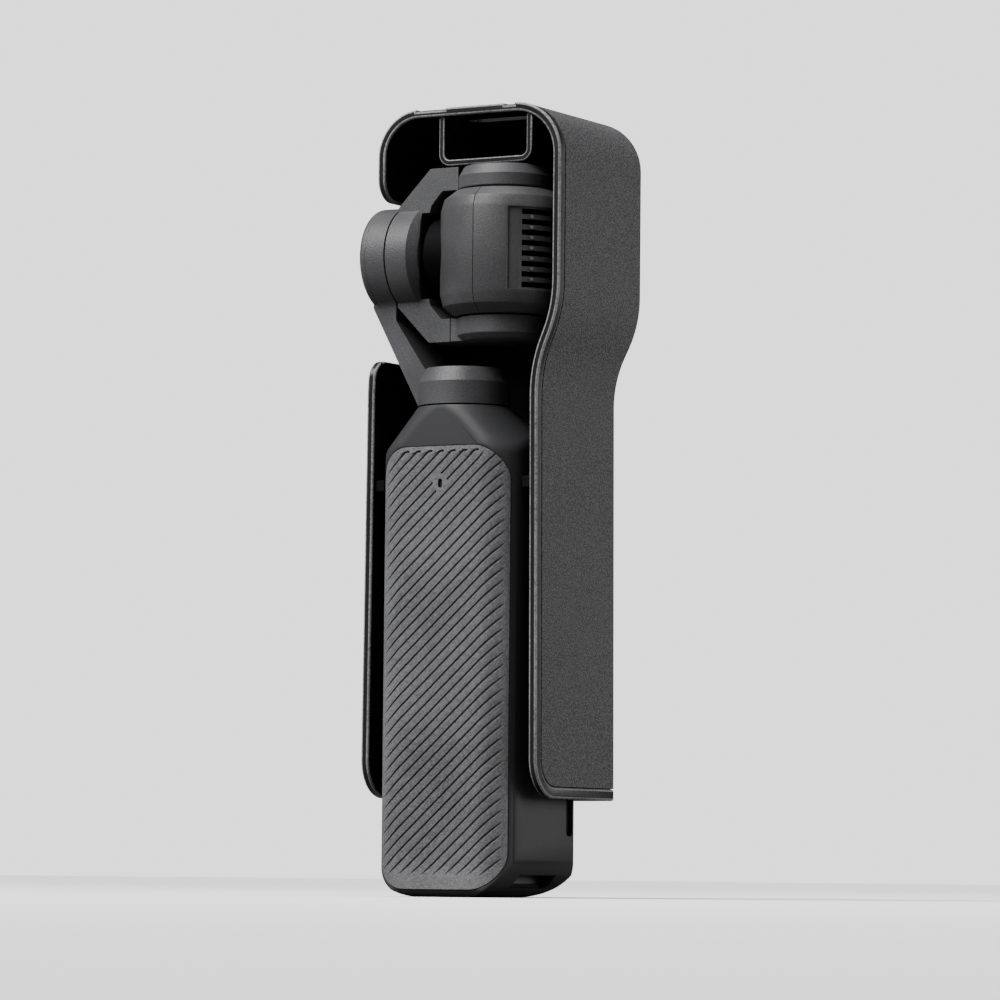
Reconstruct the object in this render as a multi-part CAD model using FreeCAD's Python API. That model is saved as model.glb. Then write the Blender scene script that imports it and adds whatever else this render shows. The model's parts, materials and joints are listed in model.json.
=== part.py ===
import FreeCAD, Part
import math
import os

# Pocket camera on a three-axis gimbal, stowed inside its open-backed protective cover.
# Millimetres. The origin is where the pan axis meets the flat base, +Z is up,
# +Y points out of the screen side and +X to the side that has the card slot.

# Clearances
SEAM = 0.3
SEAT = 0.1
PIN_FIT = 0.05
PRESS_GAP = 0.02

# Handle casing
HANDLE_HALF_X = 15.0
HANDLE_BACK_Y = -9.0
HANDLE_FRONT_Y = 21.0
HANDLE_WALL = 1.4
BACK_CORNER_R = 6.8
FRONT_CORNER_R = 4.5
BASE_CORNER_R = 10.0
BASE_BACK_R = 2.4
BASE_FRONT_R = 8.0
NECK_R = 8.9
NECK_TOP_Z = 93.5
SHOULDER_DROP = 23.5
SHOULDER_SPREAD = 15.8
SHOULDER_LEAN_Y = 9.7
SHOULDER_ROUND_R = 3.5
CAVITY_DROP = 12.5
CAVITY_FLOOR_Z = 5.8

# Grip plate and its diagonal ribs
PLATE_BORDER = 1.23
PLATE_LOW_Z = 1.5
PLATE_DROP = 7.9
PLATE_CORNER_R = 6.8
PLATE_THICK = 1.4
PLATE_LIP_DEPTH = 4.4
PLATE_SEAM = 0.15
GROOVE_ANGLE = 42.0
GROOVE_PITCH = 2.54
GROOVE_WIDTH = 0.3
GROOVE_DEPTH = 0.3
GROOVE_MARGIN = 1.4
MIC_DROP = 7.1
MIC_WIDTH = 1.0
MIC_HEIGHT = 1.9
MIC_RECESS = 0.5

# Rotating screen
SCREEN_SIDE = 0.5
SCREEN_HEIGHT = 48.0
SCREEN_DROP = 18.0
SCREEN_THICK = 3.2
SCREEN_CORNER_R = 4.0
GLASS_THICK = 0.8
GLASS_MARGIN = 0.9
SCREEN_BOSS_R = 4.5
SCREEN_FLANGE_R = 6.0
SCREEN_FLANGE_THICK = 0.6

# Controls under the screen
CONTROL_DROP = 8.5
RECORD_X = -6.5
RECORD_R = 4.2
RECORD_PROUD = 0.9
RECORD_FLANGE = 0.8
RECORD_FLANGE_THICK = 0.5
RECORD_EDGE_R = 0.4
DOT_R = 1.5
DOT_THICK = 0.25
STICK_X = 6.5
STICK_R = 3.3
STICK_HOLE_R = 4.2
STICK_PROUD = 1.9
STICK_STEM_R = 0.9
STICK_CAP_LIFT = 1.0
STICK_RING_R = 2.6
STICK_RING_BORE = 1.5
STICK_RING_THICK = 0.8
STICK_PIN_R = 0.2
STICK_PIN_REACH = 0.45
STICK_BASE_R = 1.8
STICK_BASE_THICK = 0.4
LIGHT_DROP = 7.0
LIGHT_WIDTH = 2.6
LIGHT_HEIGHT = 1.1

# Boards, battery and card
BOARD_THICK = 1.0
BOARD_CORNER_R = 1.0
MAIN_BOARD_DROP = 1.5
CONTROL_BOARD_DEPTH = 4.3
CONTROL_BOARD_LOW_Z = 8.0
CONTROL_BOARD_TOP_Z = 28.5
CONTROL_BOARD_SIDE = 2.0
BATTERY_SIDE = 4.0
BATTERY_LOW_Z = 12.0
BATTERY_DROP = 3.0
BATTERY_EDGE_R = 2.0
CARD_LENGTH = 15.0
CARD_WIDTH = 11.0
CARD_THICK = 0.8
CARD_SETBACK = 0.6
CARD_CORNER_R = 0.6
CARD_NOTCH = 1.5
CARD_Z = 17.8
SLOT_MARGIN = 0.5
SLOT_HALF_Y = 1.3
SLOT_CORNER_R = 1.0
SOCKET_WALL = 0.45

# Charging port
PORT_Y = 6.0
PORT_WIDTH = 8.94
PORT_HEIGHT = 3.26
PORT_WALL = 0.3
PORT_DEPTH = 7.4
PORT_SETBACK = 0.3
TONGUE_WIDTH = 6.7
TONGUE_THICK = 0.7

# Accessory latch slots on both sides of the base
LATCH_LOW_Z = 1.9
LATCH_HEIGHT = 2.4
LATCH_HALF_Y = 7.1
LATCH_SHIFT_Y = 0.8
LATCH_DEPTH = 5.6
LATCH_BAR_DEPTH = 0.7
LATCH_BAR_HEIGHT = 0.8

# Motors, shafts and bearings
MOTOR_WALL = 1.4
SHAFT_R = 1.5
BEARING_R = 2.6
BEARING_LENGTH = 3.0

# Pan collar and arm
COLLAR_R = 8.9
COLLAR_HEIGHT = 4.4
COLLAR_TOP_R = 7.5
COLLAR_RISE = 7.2
COLLAR_ROOF = 2.0
ARM_HALF_Y = 5.0
ARM_OUTER_X = -17.6
ARM_BEND_DROP = 9.6
ARM_BEND_R = 1.0
ARM_BLEND_R = 1.8
ARM_INNER_FOOT_X = -6.0
ARM_INNER_BEND_DROP = 12.2
ARM_INNER_BEND_R = 2.0
ARM_ROOT_X = -4.0

# Roll motor and yoke
ROLL_RISE = 29.2
ROLL_R = 10.1
ROLL_CAP_X = -18.2
ROLL_CAP_THICK = 1.6
ROLL_CAP_ROUND = 1.0
HUB_BACK_X = -12.2
HUB_FRONT_X = -5.9
HUB_CHAMFER = 1.7
YOKE_HALF_Y = 5.0
YOKE_OUTER_HALF_Z = 16.8
YOKE_SHOULDER_X = -5.2
YOKE_FOOT_HALF_Z = 9.6
YOKE_CORNER_R = 0.8
YOKE_INNER_X = -5.4
YOKE_INNER_HALF_Z = 7.5
YOKE_KNEE_X = -4.9
YOKE_KNEE_HALF_Z = 9.6
YOKE_NECK_X = -2.5
LOWER_ARM_END_X = -0.5
SCOOP_HALF_Z = 8.3
LENS_CLEARANCE = 0.35

# Tilt axis, its motor and its cap
TILT_X = 8.6
TILT_R = 9.0
TILT_CHAMFER = 1.1
CAP_CHAMFER = 2.0
CAP_CHAMFER_WIDTH = 1.1
PIVOT_ROOF = 1.0
ROLL_SHAFT_DEPTH = 2.1
TILT_WALL = 1.3

# Camera barrel and lens
BARREL_R = 12.35
BARREL_HALF_Z = 12.05
BARREL_STRAIGHT_HALF_Z = 8.0
BARREL_KNEE_R = 11.7
BARREL_KNEE_HALF_Z = 10.3
BARREL_END_R = 9.5
BARREL_WALL = 1.2
SHELL_SEAM = 0.12
LENS_R = 7.8
LENS_BORE = 5.8
LENS_FRONT_X = -5.35
LENS_ROOT_X = 1.2
LENS_SETBACK = 0.7
LENS_GLASS_THICK = 1.0
LENS_TUBE_END_X = 4.6
SENSOR_HALF_Y = 7.0
SENSOR_HALF_Z = 8.0
SINK_DEPTH = 7.6
SINK_FINS = 7
SINK_BASE_THICK = 1.2
INNER_LENS_THICK = 1.4
INNER_LENS_SIDE = 1.6
INNER_LENS_SETBACK = 1.5
VENT_COUNT = 8
VENT_PITCH = 1.99
VENT_HEIGHT = 1.05
VENT_START = 45.0
VENT_PANEL_START = 32.0
VENT_PANEL_HALF_Z = 7.9
VENT_PANEL_DEPTH = 0.35
STUD_R = 0.32
STUD_ANGLE = 54.0

# Protective cover
COVER_LOW_Z = 18.8
COVER_RIM_DEPTH = 3.8
COVER_WALL = 1.65
COVER_FRONT_ROOM = 3.35
COVER_HEAD_BULGE = 1.7
COVER_FRONT_R = 5.0
COVER_BASE_ROOM = 2.65
COVER_WAIST_ROOM = 2.05
COVER_WAIST_RISE = 7.25
COVER_HEAD_RISE = 17.75
COVER_HEAD_RIGHT_X = 23.4
COVER_HEAD_LEFT_X = -16.9
COVER_TOP_RIGHT_R = 10.0
COVER_TOP_LEFT_R = 9.0
COVER_FOOT_R = 7.5
NOTCH_DROP = 19.6
NOTCH_ROOM = 1.1
NOTCH_FRONT_ROOM = 1.1
NOTCH_INNER_R = 3.0
NOTCH_LOW_R = 3.5
NOTCH_TOP_R = 4.5
RIM_BAND = 2.3
RIM_RECESS_DEPTH = 0.45
RIM_RECESS_SPANS = ((-8.4, -2.1), (11.1, 13.2))
SKIN_THICK = 0.5
SKIN_SEAM = 0.14

# Strap tunnel under the cover's top wall
TUNNEL_LEFT_X = -3.7
TUNNEL_RIGHT_X = 16.7
TUNNEL_HEAD_ROOM = 0.45
TUNNEL_HEIGHT = 9.6
TUNNEL_WALL = 1.15
TUNNEL_CORNER_R = 2.4
TUNNEL_SETBACK = 0.8
TUNNEL_DEPTH = 17.0
STRAP_SLOT_X = 6.0
STRAP_SLOT_LENGTH = 14.0
STRAP_SLOT_WIDTH = 3.6
STRAP_SLOT_SETBACK = 8.7

# Clips and pads inside the cover
CLIP_RISE = 3.2
CLIP_HEIGHT = 2.2
CLIP_DEPTH = 1.6
CLIP_SETBACK = 0.9
PAD_WIDTH = 9.0
PAD_DROP = 1.2
PAD_GAP = 0.3
FRONT_PAD_INSET = 9.0
FRONT_PAD_HEIGHT = 6.0
FRONT_PAD_HALF_X = 10.0
FRONT_PAD_CORNER_R = 1.5

X_AXIS = FreeCAD.Vector(1, 0, 0)
Y_AXIS = FreeCAD.Vector(0, 1, 0)
Z_AXIS = FreeCAD.Vector(0, 0, 1)
FAR = 60.0

# Places that follow from the sizes
CAVITY_TOP_Z = NECK_TOP_Z - CAVITY_DROP
PLATE_TOP_Z = NECK_TOP_Z - PLATE_DROP
PLATE_HALF_X = HANDLE_HALF_X - PLATE_BORDER
PLATE_LIP_Y = HANDLE_BACK_Y + PLATE_LIP_DEPTH
MIC_Z = PLATE_TOP_Z - MIC_DROP
SCREEN_WIDTH = 2 * (HANDLE_HALF_X - SCREEN_SIDE)
SCREEN_TOP_Z = NECK_TOP_Z - SCREEN_DROP
SCREEN_LOW_Z = SCREEN_TOP_Z - SCREEN_HEIGHT
CONTROL_Z = SCREEN_LOW_Z - CONTROL_DROP
LIGHT_Z = CONTROL_Z - LIGHT_DROP
SCREEN_BACK_Y = HANDLE_FRONT_Y + SEAM
SCREEN_FRONT_Y = SCREEN_BACK_Y + SCREEN_THICK
SCREEN_MID_Z = (SCREEN_LOW_Z + SCREEN_TOP_Z) / 2
SCREEN_PIVOT_OFFSET = (SCREEN_HEIGHT - SCREEN_WIDTH) / 4
SCREEN_PIVOT_X = SCREEN_PIVOT_OFFSET
SCREEN_PIVOT_Z = SCREEN_MID_Z + SCREEN_PIVOT_OFFSET
INNER_FRONT_Y = HANDLE_FRONT_Y - HANDLE_WALL
INNER_HALF_X = HANDLE_HALF_X - HANDLE_WALL
PLATE_BACK_Y = HANDLE_BACK_Y + PLATE_THICK
INNER_BACK_Y = PLATE_BACK_Y + PLATE_SEAM + HANDLE_WALL
MAIN_BOARD_Y = PORT_Y + PORT_HEIGHT / 2 + SEAT
LATCH_FLOOR_X = HANDLE_HALF_X - LATCH_DEPTH
LATCH_Y = PORT_Y + LATCH_SHIFT_Y
CONTROL_BOARD_Y = HANDLE_FRONT_Y + SEAM - CONTROL_BOARD_DEPTH
CARD_Y = CONTROL_BOARD_Y - SOCKET_WALL - CARD_THICK / 2 - 2 * SEAT
COLLAR_LOW_Z = NECK_TOP_Z + SEAM
COLLAR_TOP_Z = COLLAR_LOW_Z + COLLAR_RISE
ROLL_Z = NECK_TOP_Z + ROLL_RISE
ROLL_SEAM_X = HUB_BACK_X - SEAM
ROLL_CUP_BACK_X = ROLL_CAP_X + ROLL_CAP_THICK
ARM_GAP_HALF_Z = BARREL_HALF_Z + SEAM
TILT_POINT = FreeCAD.Vector(TILT_X, 0, ROLL_Z)
COVER_RIM_Y = HANDLE_BACK_Y + COVER_RIM_DEPTH
COVER_FRONT_Y = SCREEN_FRONT_Y + COVER_FRONT_ROOM + COVER_WALL
COVER_BASE_HALF_X = HANDLE_HALF_X + COVER_BASE_ROOM + COVER_WALL
COVER_WAIST_HALF_X = HANDLE_HALF_X + COVER_WAIST_ROOM + COVER_WALL
COVER_WAIST_Z = NECK_TOP_Z + COVER_WAIST_RISE
COVER_HEAD_Z = NECK_TOP_Z + COVER_HEAD_RISE
NOTCH_LOW_Z = ROLL_Z - NOTCH_DROP
NOTCH_TOP_Z = ROLL_Z + ROLL_R + NOTCH_ROOM
NOTCH_FRONT_Y = ROLL_R + NOTCH_FRONT_ROOM
TUNNEL_LOW_Z = ROLL_Z + YOKE_OUTER_HALF_Z + TUNNEL_HEAD_ROOM
COVER_TOP_Z = TUNNEL_LOW_Z + TUNNEL_HEIGHT + COVER_WALL
TUNNEL_BACK_Y = COVER_RIM_Y + TUNNEL_SETBACK
STRAP_SLOT_Y = COVER_RIM_Y + STRAP_SLOT_SETBACK
CLIP_Z = SCREEN_TOP_Z + CLIP_RISE


def vector(x, y, z):
    return FreeCAD.Vector(x, y, z)


def block(x0, x1, y0, y1, z0, z1):
    return Part.makeBox(x1 - x0, y1 - y0, z1 - z0, vector(x0, y0, z0))


def rod(radius, start, axis, length):
    return Part.makeCylinder(radius, length, start, axis)


def tube(radius, bore, start, axis, length):
    return rod(radius, start, axis, length).cut(rod(bore, start, axis, length))


def turned(profile, base, axis, side):
    """Solid of revolution of (radius, height) points about the axis through base."""
    points = [base + side * radius + axis * height for radius, height in profile]
    face = Part.Face(Part.makePolygon(points + points[:1]))
    return face.revolve(base, axis, 360)


def corner_cut(before, corner, after, radius):
    """Tangent points and middle of the arc that rounds one corner of an outline."""
    back = (before - corner).normalize()
    ahead = (after - corner).normalize()
    half = back.getAngle(ahead) / 2
    reach = radius / math.tan(half)
    middle_line = (back + ahead).normalize()
    centre = corner + middle_line * (radius / math.sin(half))
    return corner + back * reach, centre - middle_line * radius, corner + ahead * reach


def outline(corners):
    """Closed wire through (point, radius) corners, each rounded by its radius."""
    spans = []
    count = len(corners)
    for index in range(count):
        point, radius = corners[index]
        if radius > 0:
            before = corners[index - 1][0]
            after = corners[(index + 1) % count][0]
            spans.append(corner_cut(before, point, after, radius))
        else:
            spans.append((point, None, point))
    edges = []
    for index in range(count):
        start, middle, end = spans[index]
        if middle is not None:
            edges.append(Part.Arc(start, middle, end).toShape())
        following = spans[(index + 1) % count][0]
        if end.distanceToPoint(following) > 1e-6:
            edges.append(Part.LineSegment(end, following).toShape())
    return Part.Wire(edges)


def front_outline(corners, y):
    return outline([(vector(x, y, z), radius) for x, z, radius in corners])


def plate_of(wire, thickness):
    return Part.Face(wire).extrude(thickness)


def rounded_slab(x0, x1, z0, z1, radius, y0, y1):
    """Slab with rounded corners seen from the front, from y0 to y1."""
    corners = [(x0, z0, radius), (x1, z0, radius), (x1, z1, radius), (x0, z1, radius)]
    return plate_of(front_outline(corners, y0), vector(0, y1 - y0, 0))


def handle_form(inset, top):
    """Outer form of the handle, drawn in by inset and cut off level at top."""
    half = HANDLE_HALF_X - inset
    back = HANDLE_BACK_Y + inset
    front = HANDLE_FRONT_Y - inset
    back_r = BACK_CORNER_R - inset
    front_r = FRONT_CORNER_R - inset
    plan = outline([(vector(-half, back, inset), back_r), (vector(half, back, inset), back_r),
                    (vector(half, front, inset), front_r), (vector(-half, front, inset), front_r)])
    form = plate_of(plan, vector(0, 0, top - inset))
    base_r = BASE_CORNER_R - inset
    front_view = [(-half, inset, base_r), (half, inset, base_r), (half, top, 0), (-half, top, 0)]
    form = form.common(plate_of(front_outline(front_view, -FAR), vector(0, 2 * FAR, 0)))
    side_back_r = max(BASE_BACK_R - inset, 0)
    side_view = outline([(vector(-FAR, back, inset), side_back_r),
                         (vector(-FAR, front, inset), BASE_FRONT_R - inset),
                         (vector(-FAR, front, top), 0), (vector(-FAR, back, top), 0)])
    return form.common(plate_of(side_view, vector(2 * FAR, 0, 0)))


def shoulder_waste(inset):
    """What the leaning cone of the shoulders takes off the straight handle."""
    start_z = NECK_TOP_Z - SHOULDER_DROP
    low = Part.Wire(Part.makeCircle(HANDLE_HALF_X + SHOULDER_SPREAD - inset, vector(0, SHOULDER_LEAN_Y, start_z)))
    high = Part.Wire(Part.makeCircle(NECK_R - inset, vector(0, 0, NECK_TOP_Z)))
    cone = Part.makeLoft([low, high], True, True)
    around = block(-FAR, FAR, -FAR, FAR, start_z, NECK_TOP_Z)
    return around.cut(cone)


def shouldered_form():
    """Outer form of the handle with its rounded shoulders."""
    form = handle_form(0, NECK_TOP_Z).cut(shoulder_waste(0))
    start_z = NECK_TOP_Z - SHOULDER_DROP
    edges = []
    for edge in form.Edges:
        bounds = edge.BoundBox
        level = bounds.ZMax - bounds.ZMin < SEAT and bounds.ZMax > NECK_TOP_Z - SEAT
        upright = abs(edge.tangentAt(edge.FirstParameter).z) > 0.99
        if bounds.ZMin > start_z and not level and not upright:
            edges.append(edge)
    return form.makeFillet(SHOULDER_ROUND_R, edges)


def plate_zone(gap):
    """Space of the grip plate behind the handle, grown by gap all round."""
    half = PLATE_HALF_X + gap
    zone = rounded_slab(-half, half, PLATE_LOW_Z - gap, PLATE_TOP_Z + gap, PLATE_CORNER_R + gap,
                        HANDLE_BACK_Y - SEAT, PLATE_LIP_Y + gap)
    core_half = HANDLE_HALF_X - PLATE_THICK - gap
    core_half = min(core_half, PLATE_HALF_X - PLATE_THICK / 2 - gap)
    core_r = BACK_CORNER_R - PLATE_THICK
    core = outline([(vector(-core_half, PLATE_BACK_Y + gap, 0), core_r),
                    (vector(core_half, PLATE_BACK_Y + gap, 0), core_r),
                    (vector(core_half, FAR, 0), 0), (vector(-core_half, FAR, 0), 0)])
    return zone.cut(plate_of(core, vector(0, 0, 2 * FAR)))


def pill(width, height, x, y, z, length):
    """Flat-sided pin with round ends, its length along +Y."""
    radius = min(width, height) / 2
    half_x = width / 2
    half_z = height / 2
    corners = [(x - half_x, z - half_z, radius * 0.999), (x + half_x, z - half_z, radius * 0.999),
               (x + half_x, z + half_z, radius * 0.999), (x - half_x, z + half_z, radius * 0.999)]
    return plate_of(front_outline(corners, y), vector(0, length, 0))


def port_shape(grow, z0, z1):
    """Charging port's oval, grown by grow, between two heights."""
    half_x = PORT_WIDTH / 2 + grow
    half_y = PORT_HEIGHT / 2 + grow
    radius = half_y * 0.999
    wire = outline([(vector(-half_x, PORT_Y - half_y, z0), radius), (vector(half_x, PORT_Y - half_y, z0), radius),
                    (vector(half_x, PORT_Y + half_y, z0), radius), (vector(-half_x, PORT_Y + half_y, z0), radius)])
    return plate_of(wire, vector(0, 0, z1 - z0))


def handle_shell():
    shell = shouldered_form()
    cavity = handle_form(HANDLE_WALL, CAVITY_TOP_Z).cut(shoulder_waste(HANDLE_WALL * 1.4))
    cavity = cavity.cut(block(-FAR, FAR, -FAR, INNER_BACK_Y, -FAR, 2 * FAR))
    cavity = cavity.cut(block(-FAR, FAR, -FAR, FAR, -FAR, CAVITY_FLOOR_Z))
    shell = shell.cut(cavity)
    shell = shell.cut(plate_zone(PLATE_SEAM))
    motor_bore_r = NECK_R - MOTOR_WALL
    shell = shell.cut(rod(motor_bore_r, vector(0, 0, CAVITY_TOP_Z - SEAT), Z_AXIS, FAR))
    wall_start = INNER_FRONT_Y - SEAT
    shell = shell.cut(rod(SCREEN_BOSS_R + PIN_FIT, vector(SCREEN_PIVOT_X, wall_start, SCREEN_PIVOT_Z), Y_AXIS, FAR))
    shell = shell.cut(rod(RECORD_R + PIN_FIT * 2, vector(RECORD_X, wall_start, CONTROL_Z), Y_AXIS, FAR))
    shell = shell.cut(rod(STICK_HOLE_R, vector(STICK_X, wall_start, CONTROL_Z), Y_AXIS, FAR))
    shell = shell.cut(pill(LIGHT_WIDTH, LIGHT_HEIGHT, 0, wall_start, LIGHT_Z, FAR))
    shell = shell.cut(port_shape(PIN_FIT, -SEAT, CAVITY_FLOOR_Z + SEAT))
    slot_half_z = CARD_WIDTH / 2 + SLOT_MARGIN
    slot_start = INNER_HALF_X - SEAT
    radius = SLOT_CORNER_R
    slot = outline([(vector(slot_start, CARD_Y - SLOT_HALF_Y, CARD_Z - slot_half_z), radius),
                    (vector(slot_start, CARD_Y + SLOT_HALF_Y, CARD_Z - slot_half_z), radius),
                    (vector(slot_start, CARD_Y + SLOT_HALF_Y, CARD_Z + slot_half_z), radius),
                    (vector(slot_start, CARD_Y - SLOT_HALF_Y, CARD_Z + slot_half_z), radius)])
    shell = shell.cut(plate_of(slot, vector(FAR, 0, 0)))
    for x0, x1 in ((-FAR, -LATCH_FLOOR_X), (LATCH_FLOOR_X, FAR)):
        shell = shell.cut(block(x0, x1, LATCH_Y - LATCH_HALF_Y, LATCH_Y + LATCH_HALF_Y,
                                LATCH_LOW_Z, LATCH_LOW_Z + LATCH_HEIGHT))
    shell = shell.cut(pill(MIC_WIDTH, MIC_HEIGHT, 0, PLATE_BACK_Y - SEAT, MIC_Z, HANDLE_WALL * 2))
    return shell


def groove_slabs():
    """Upright slabs that slant across the plate, one for each groove."""
    angle = math.radians(GROOVE_ANGLE)
    along = vector(math.cos(angle), 0, math.sin(angle))
    across = vector(-math.sin(angle), 0, math.cos(angle))
    middle_z = (PLATE_LOW_Z + PLATE_TOP_Z) / 2
    reach = PLATE_TOP_Z - PLATE_LOW_Z
    step = GROOVE_PITCH * math.sin(angle)
    count = int(reach / step)
    slabs = []
    for index in range(-count, count + 1):
        centre = vector(0, HANDLE_BACK_Y - SEAT, middle_z) + across * (index * step)
        low = centre - along * reach - across * (GROOVE_WIDTH / 2)
        corners = [low, low + along * (2 * reach), low + along * (2 * reach) + across * GROOVE_WIDTH,
                   low + across * GROOVE_WIDTH]
        face = Part.Face(Part.makePolygon(corners + corners[:1]))
        slabs.append(face.extrude(vector(0, PLATE_LIP_Y - HANDLE_BACK_Y, 0)))
    return Part.makeCompound(slabs)


def grip_plate():
    plate = handle_form(0, NECK_TOP_Z).common(plate_zone(0))
    half = PLATE_HALF_X - GROOVE_MARGIN
    field = rounded_slab(-half, half, PLATE_LOW_Z + GROOVE_MARGIN, PLATE_TOP_Z - GROOVE_MARGIN,
                         PLATE_CORNER_R - GROOVE_MARGIN, HANDLE_BACK_Y - SEAT, PLATE_LIP_Y)
    island = pill(MIC_WIDTH + 2 * GROOVE_MARGIN, MIC_HEIGHT + 2 * GROOVE_MARGIN, 0, HANDLE_BACK_Y - SEAT, MIC_Z,
                  PLATE_THICK)
    field = field.cut(island)
    field = field.cut(handle_form(GROOVE_DEPTH, NECK_TOP_Z))
    plate = plate.cut(groove_slabs().common(field))
    return plate.cut(pill(MIC_WIDTH, MIC_HEIGHT, 0, HANDLE_BACK_Y - SEAT, MIC_Z, PLATE_THICK * 2))


def mic_mesh():
    start = HANDLE_BACK_Y + MIC_RECESS
    return pill(MIC_WIDTH - SEAT, MIC_HEIGHT - SEAT, 0, start, MIC_Z, PLATE_THICK)


def status_light():
    return pill(LIGHT_WIDTH - SEAT, LIGHT_HEIGHT - SEAT, 0, INNER_FRONT_Y, LIGHT_Z, HANDLE_WALL)


def latch_bars():
    """Metal strike bars on the floor of the two latch slots."""
    bars = []
    outer = LATCH_FLOOR_X + LATCH_BAR_DEPTH
    for x0, x1 in ((-outer, -LATCH_FLOOR_X), (LATCH_FLOOR_X, outer)):
        bars.append(block(x0, x1, LATCH_Y - LATCH_HALF_Y + SEAT, LATCH_Y + LATCH_HALF_Y - SEAT,
                          LATCH_LOW_Z, LATCH_LOW_Z + LATCH_BAR_HEIGHT))
    return Part.makeCompound(bars)


def usb_shell():
    high = PORT_SETBACK + PORT_DEPTH
    outer = port_shape(0, PORT_SETBACK, high)
    return outer.cut(port_shape(-PORT_WALL, PORT_SETBACK - SEAT, high - PORT_WALL))


def usb_tongue():
    low = PORT_SETBACK + 0.6
    high = PORT_SETBACK + PORT_DEPTH - PORT_WALL
    half = TONGUE_THICK / 2
    return block(-TONGUE_WIDTH / 2, TONGUE_WIDTH / 2, PORT_Y - half, PORT_Y + half, low, high)


def main_board():
    half = INNER_HALF_X - 2 * SEAT
    board_r = BASE_CORNER_R - HANDLE_WALL
    board = rounded_slab(-half, half, CAVITY_FLOOR_Z + SEAT, CAVITY_TOP_Z - MAIN_BOARD_DROP, BOARD_CORNER_R,
                         MAIN_BOARD_Y, MAIN_BOARD_Y + BOARD_THICK)
    return board.common(rounded_slab(-half, half, HANDLE_WALL + SEAT, FAR * 2, board_r, -FAR, FAR))


def battery():
    half = HANDLE_HALF_X - BATTERY_SIDE
    cell = block(-half, half, INNER_BACK_Y + SEAT, MAIN_BOARD_Y - SEAT, BATTERY_LOW_Z, CAVITY_TOP_Z - BATTERY_DROP)
    upright = [edge for edge in cell.Edges if abs(edge.tangentAt(edge.FirstParameter).z) > 0.9]
    return cell.makeFillet(BATTERY_EDGE_R, upright)


def control_board():
    half = HANDLE_HALF_X - CONTROL_BOARD_SIDE
    return block(-half, half, CONTROL_BOARD_Y, CONTROL_BOARD_Y + BOARD_THICK - SEAT,
                 CONTROL_BOARD_LOW_Z, CONTROL_BOARD_TOP_Z)


def card_end_x():
    return HANDLE_HALF_X - CARD_SETBACK


def card_socket():
    half_z = CARD_WIDTH / 2 + SEAT
    half_y = CARD_THICK / 2 + SEAT
    back_x = card_end_x() - CARD_LENGTH - SEAT
    front_x = INNER_HALF_X - SEAT
    body = block(back_x - SOCKET_WALL, front_x, CARD_Y - half_y - SOCKET_WALL, CONTROL_BOARD_Y,
                 CARD_Z - half_z - SOCKET_WALL, CARD_Z + half_z + SOCKET_WALL)
    return body.cut(block(back_x, FAR, CARD_Y - half_y, CARD_Y + half_y, CARD_Z - half_z, CARD_Z + half_z))


def memory_card():
    end = card_end_x()
    half_z = CARD_WIDTH / 2
    back = end - CARD_LENGTH
    low = CARD_Z - half_z
    high = CARD_Z + half_z
    radius = CARD_CORNER_R
    corners = [(back, low, radius), (end, low, radius), (end, high, radius), (back + CARD_NOTCH, high, radius),
               (back, high - CARD_NOTCH, radius)]
    return plate_of(front_outline(corners, CARD_Y - CARD_THICK / 2), vector(0, CARD_THICK, 0))


def record_button():
    start = vector(RECORD_X, INNER_FRONT_Y - SEAM / 2, CONTROL_Z)
    length = HANDLE_FRONT_Y + RECORD_PROUD - start.y
    cap = rod(RECORD_R, start, Y_AXIS, length)
    rim = [edge for edge in cap.Edges if edge.BoundBox.YMin > HANDLE_FRONT_Y and edge.isClosed()]
    cap = cap.makeFillet(RECORD_EDGE_R, rim)
    flange_start = start - Y_AXIS * RECORD_FLANGE_THICK
    flange = rod(RECORD_R + RECORD_FLANGE, flange_start, Y_AXIS, RECORD_FLANGE_THICK)
    dot_start = vector(RECORD_X, HANDLE_FRONT_Y + RECORD_PROUD - DOT_THICK, CONTROL_Z)
    return cap.fuse(flange).cut(rod(DOT_R + SEAT / 2, dot_start, Y_AXIS, FAR)).removeSplitter()


def record_dot():
    start = vector(RECORD_X, HANDLE_FRONT_Y + RECORD_PROUD - DOT_THICK, CONTROL_Z)
    return rod(DOT_R, start, Y_AXIS, DOT_THICK)


def stick_pivot():
    return vector(STICK_X, INNER_FRONT_Y, CONTROL_Z)


def pin_through(axis, reach, radius):
    """Round pin through the stick's pivot, standing out by reach on both sides."""
    return rod(radius, stick_pivot() - axis * reach, axis, 2 * reach)


def joystick_plunger():
    low = CONTROL_BOARD_Y + BOARD_THICK + SEAM + SEAT
    return rod(STICK_BASE_R, vector(STICK_X, low, CONTROL_Z), Y_AXIS, STICK_BASE_THICK)


def joystick_ring():
    """Gimbal ring with a level pair of pins and an upright pair of pin holes."""
    start = stick_pivot() - Y_AXIS * (STICK_RING_THICK / 2)
    level_pins = pin_through(X_AXIS, STICK_RING_R + STICK_PIN_REACH, STICK_PIN_R)
    ring = rod(STICK_RING_R, start, Y_AXIS, STICK_RING_THICK).fuse(level_pins)
    ring = ring.cut(rod(STICK_RING_BORE, start, Y_AXIS, STICK_RING_THICK))
    return ring.cut(pin_through(Z_AXIS, STICK_RING_R + SEAT, STICK_PIN_R + PIN_FIT))


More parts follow.
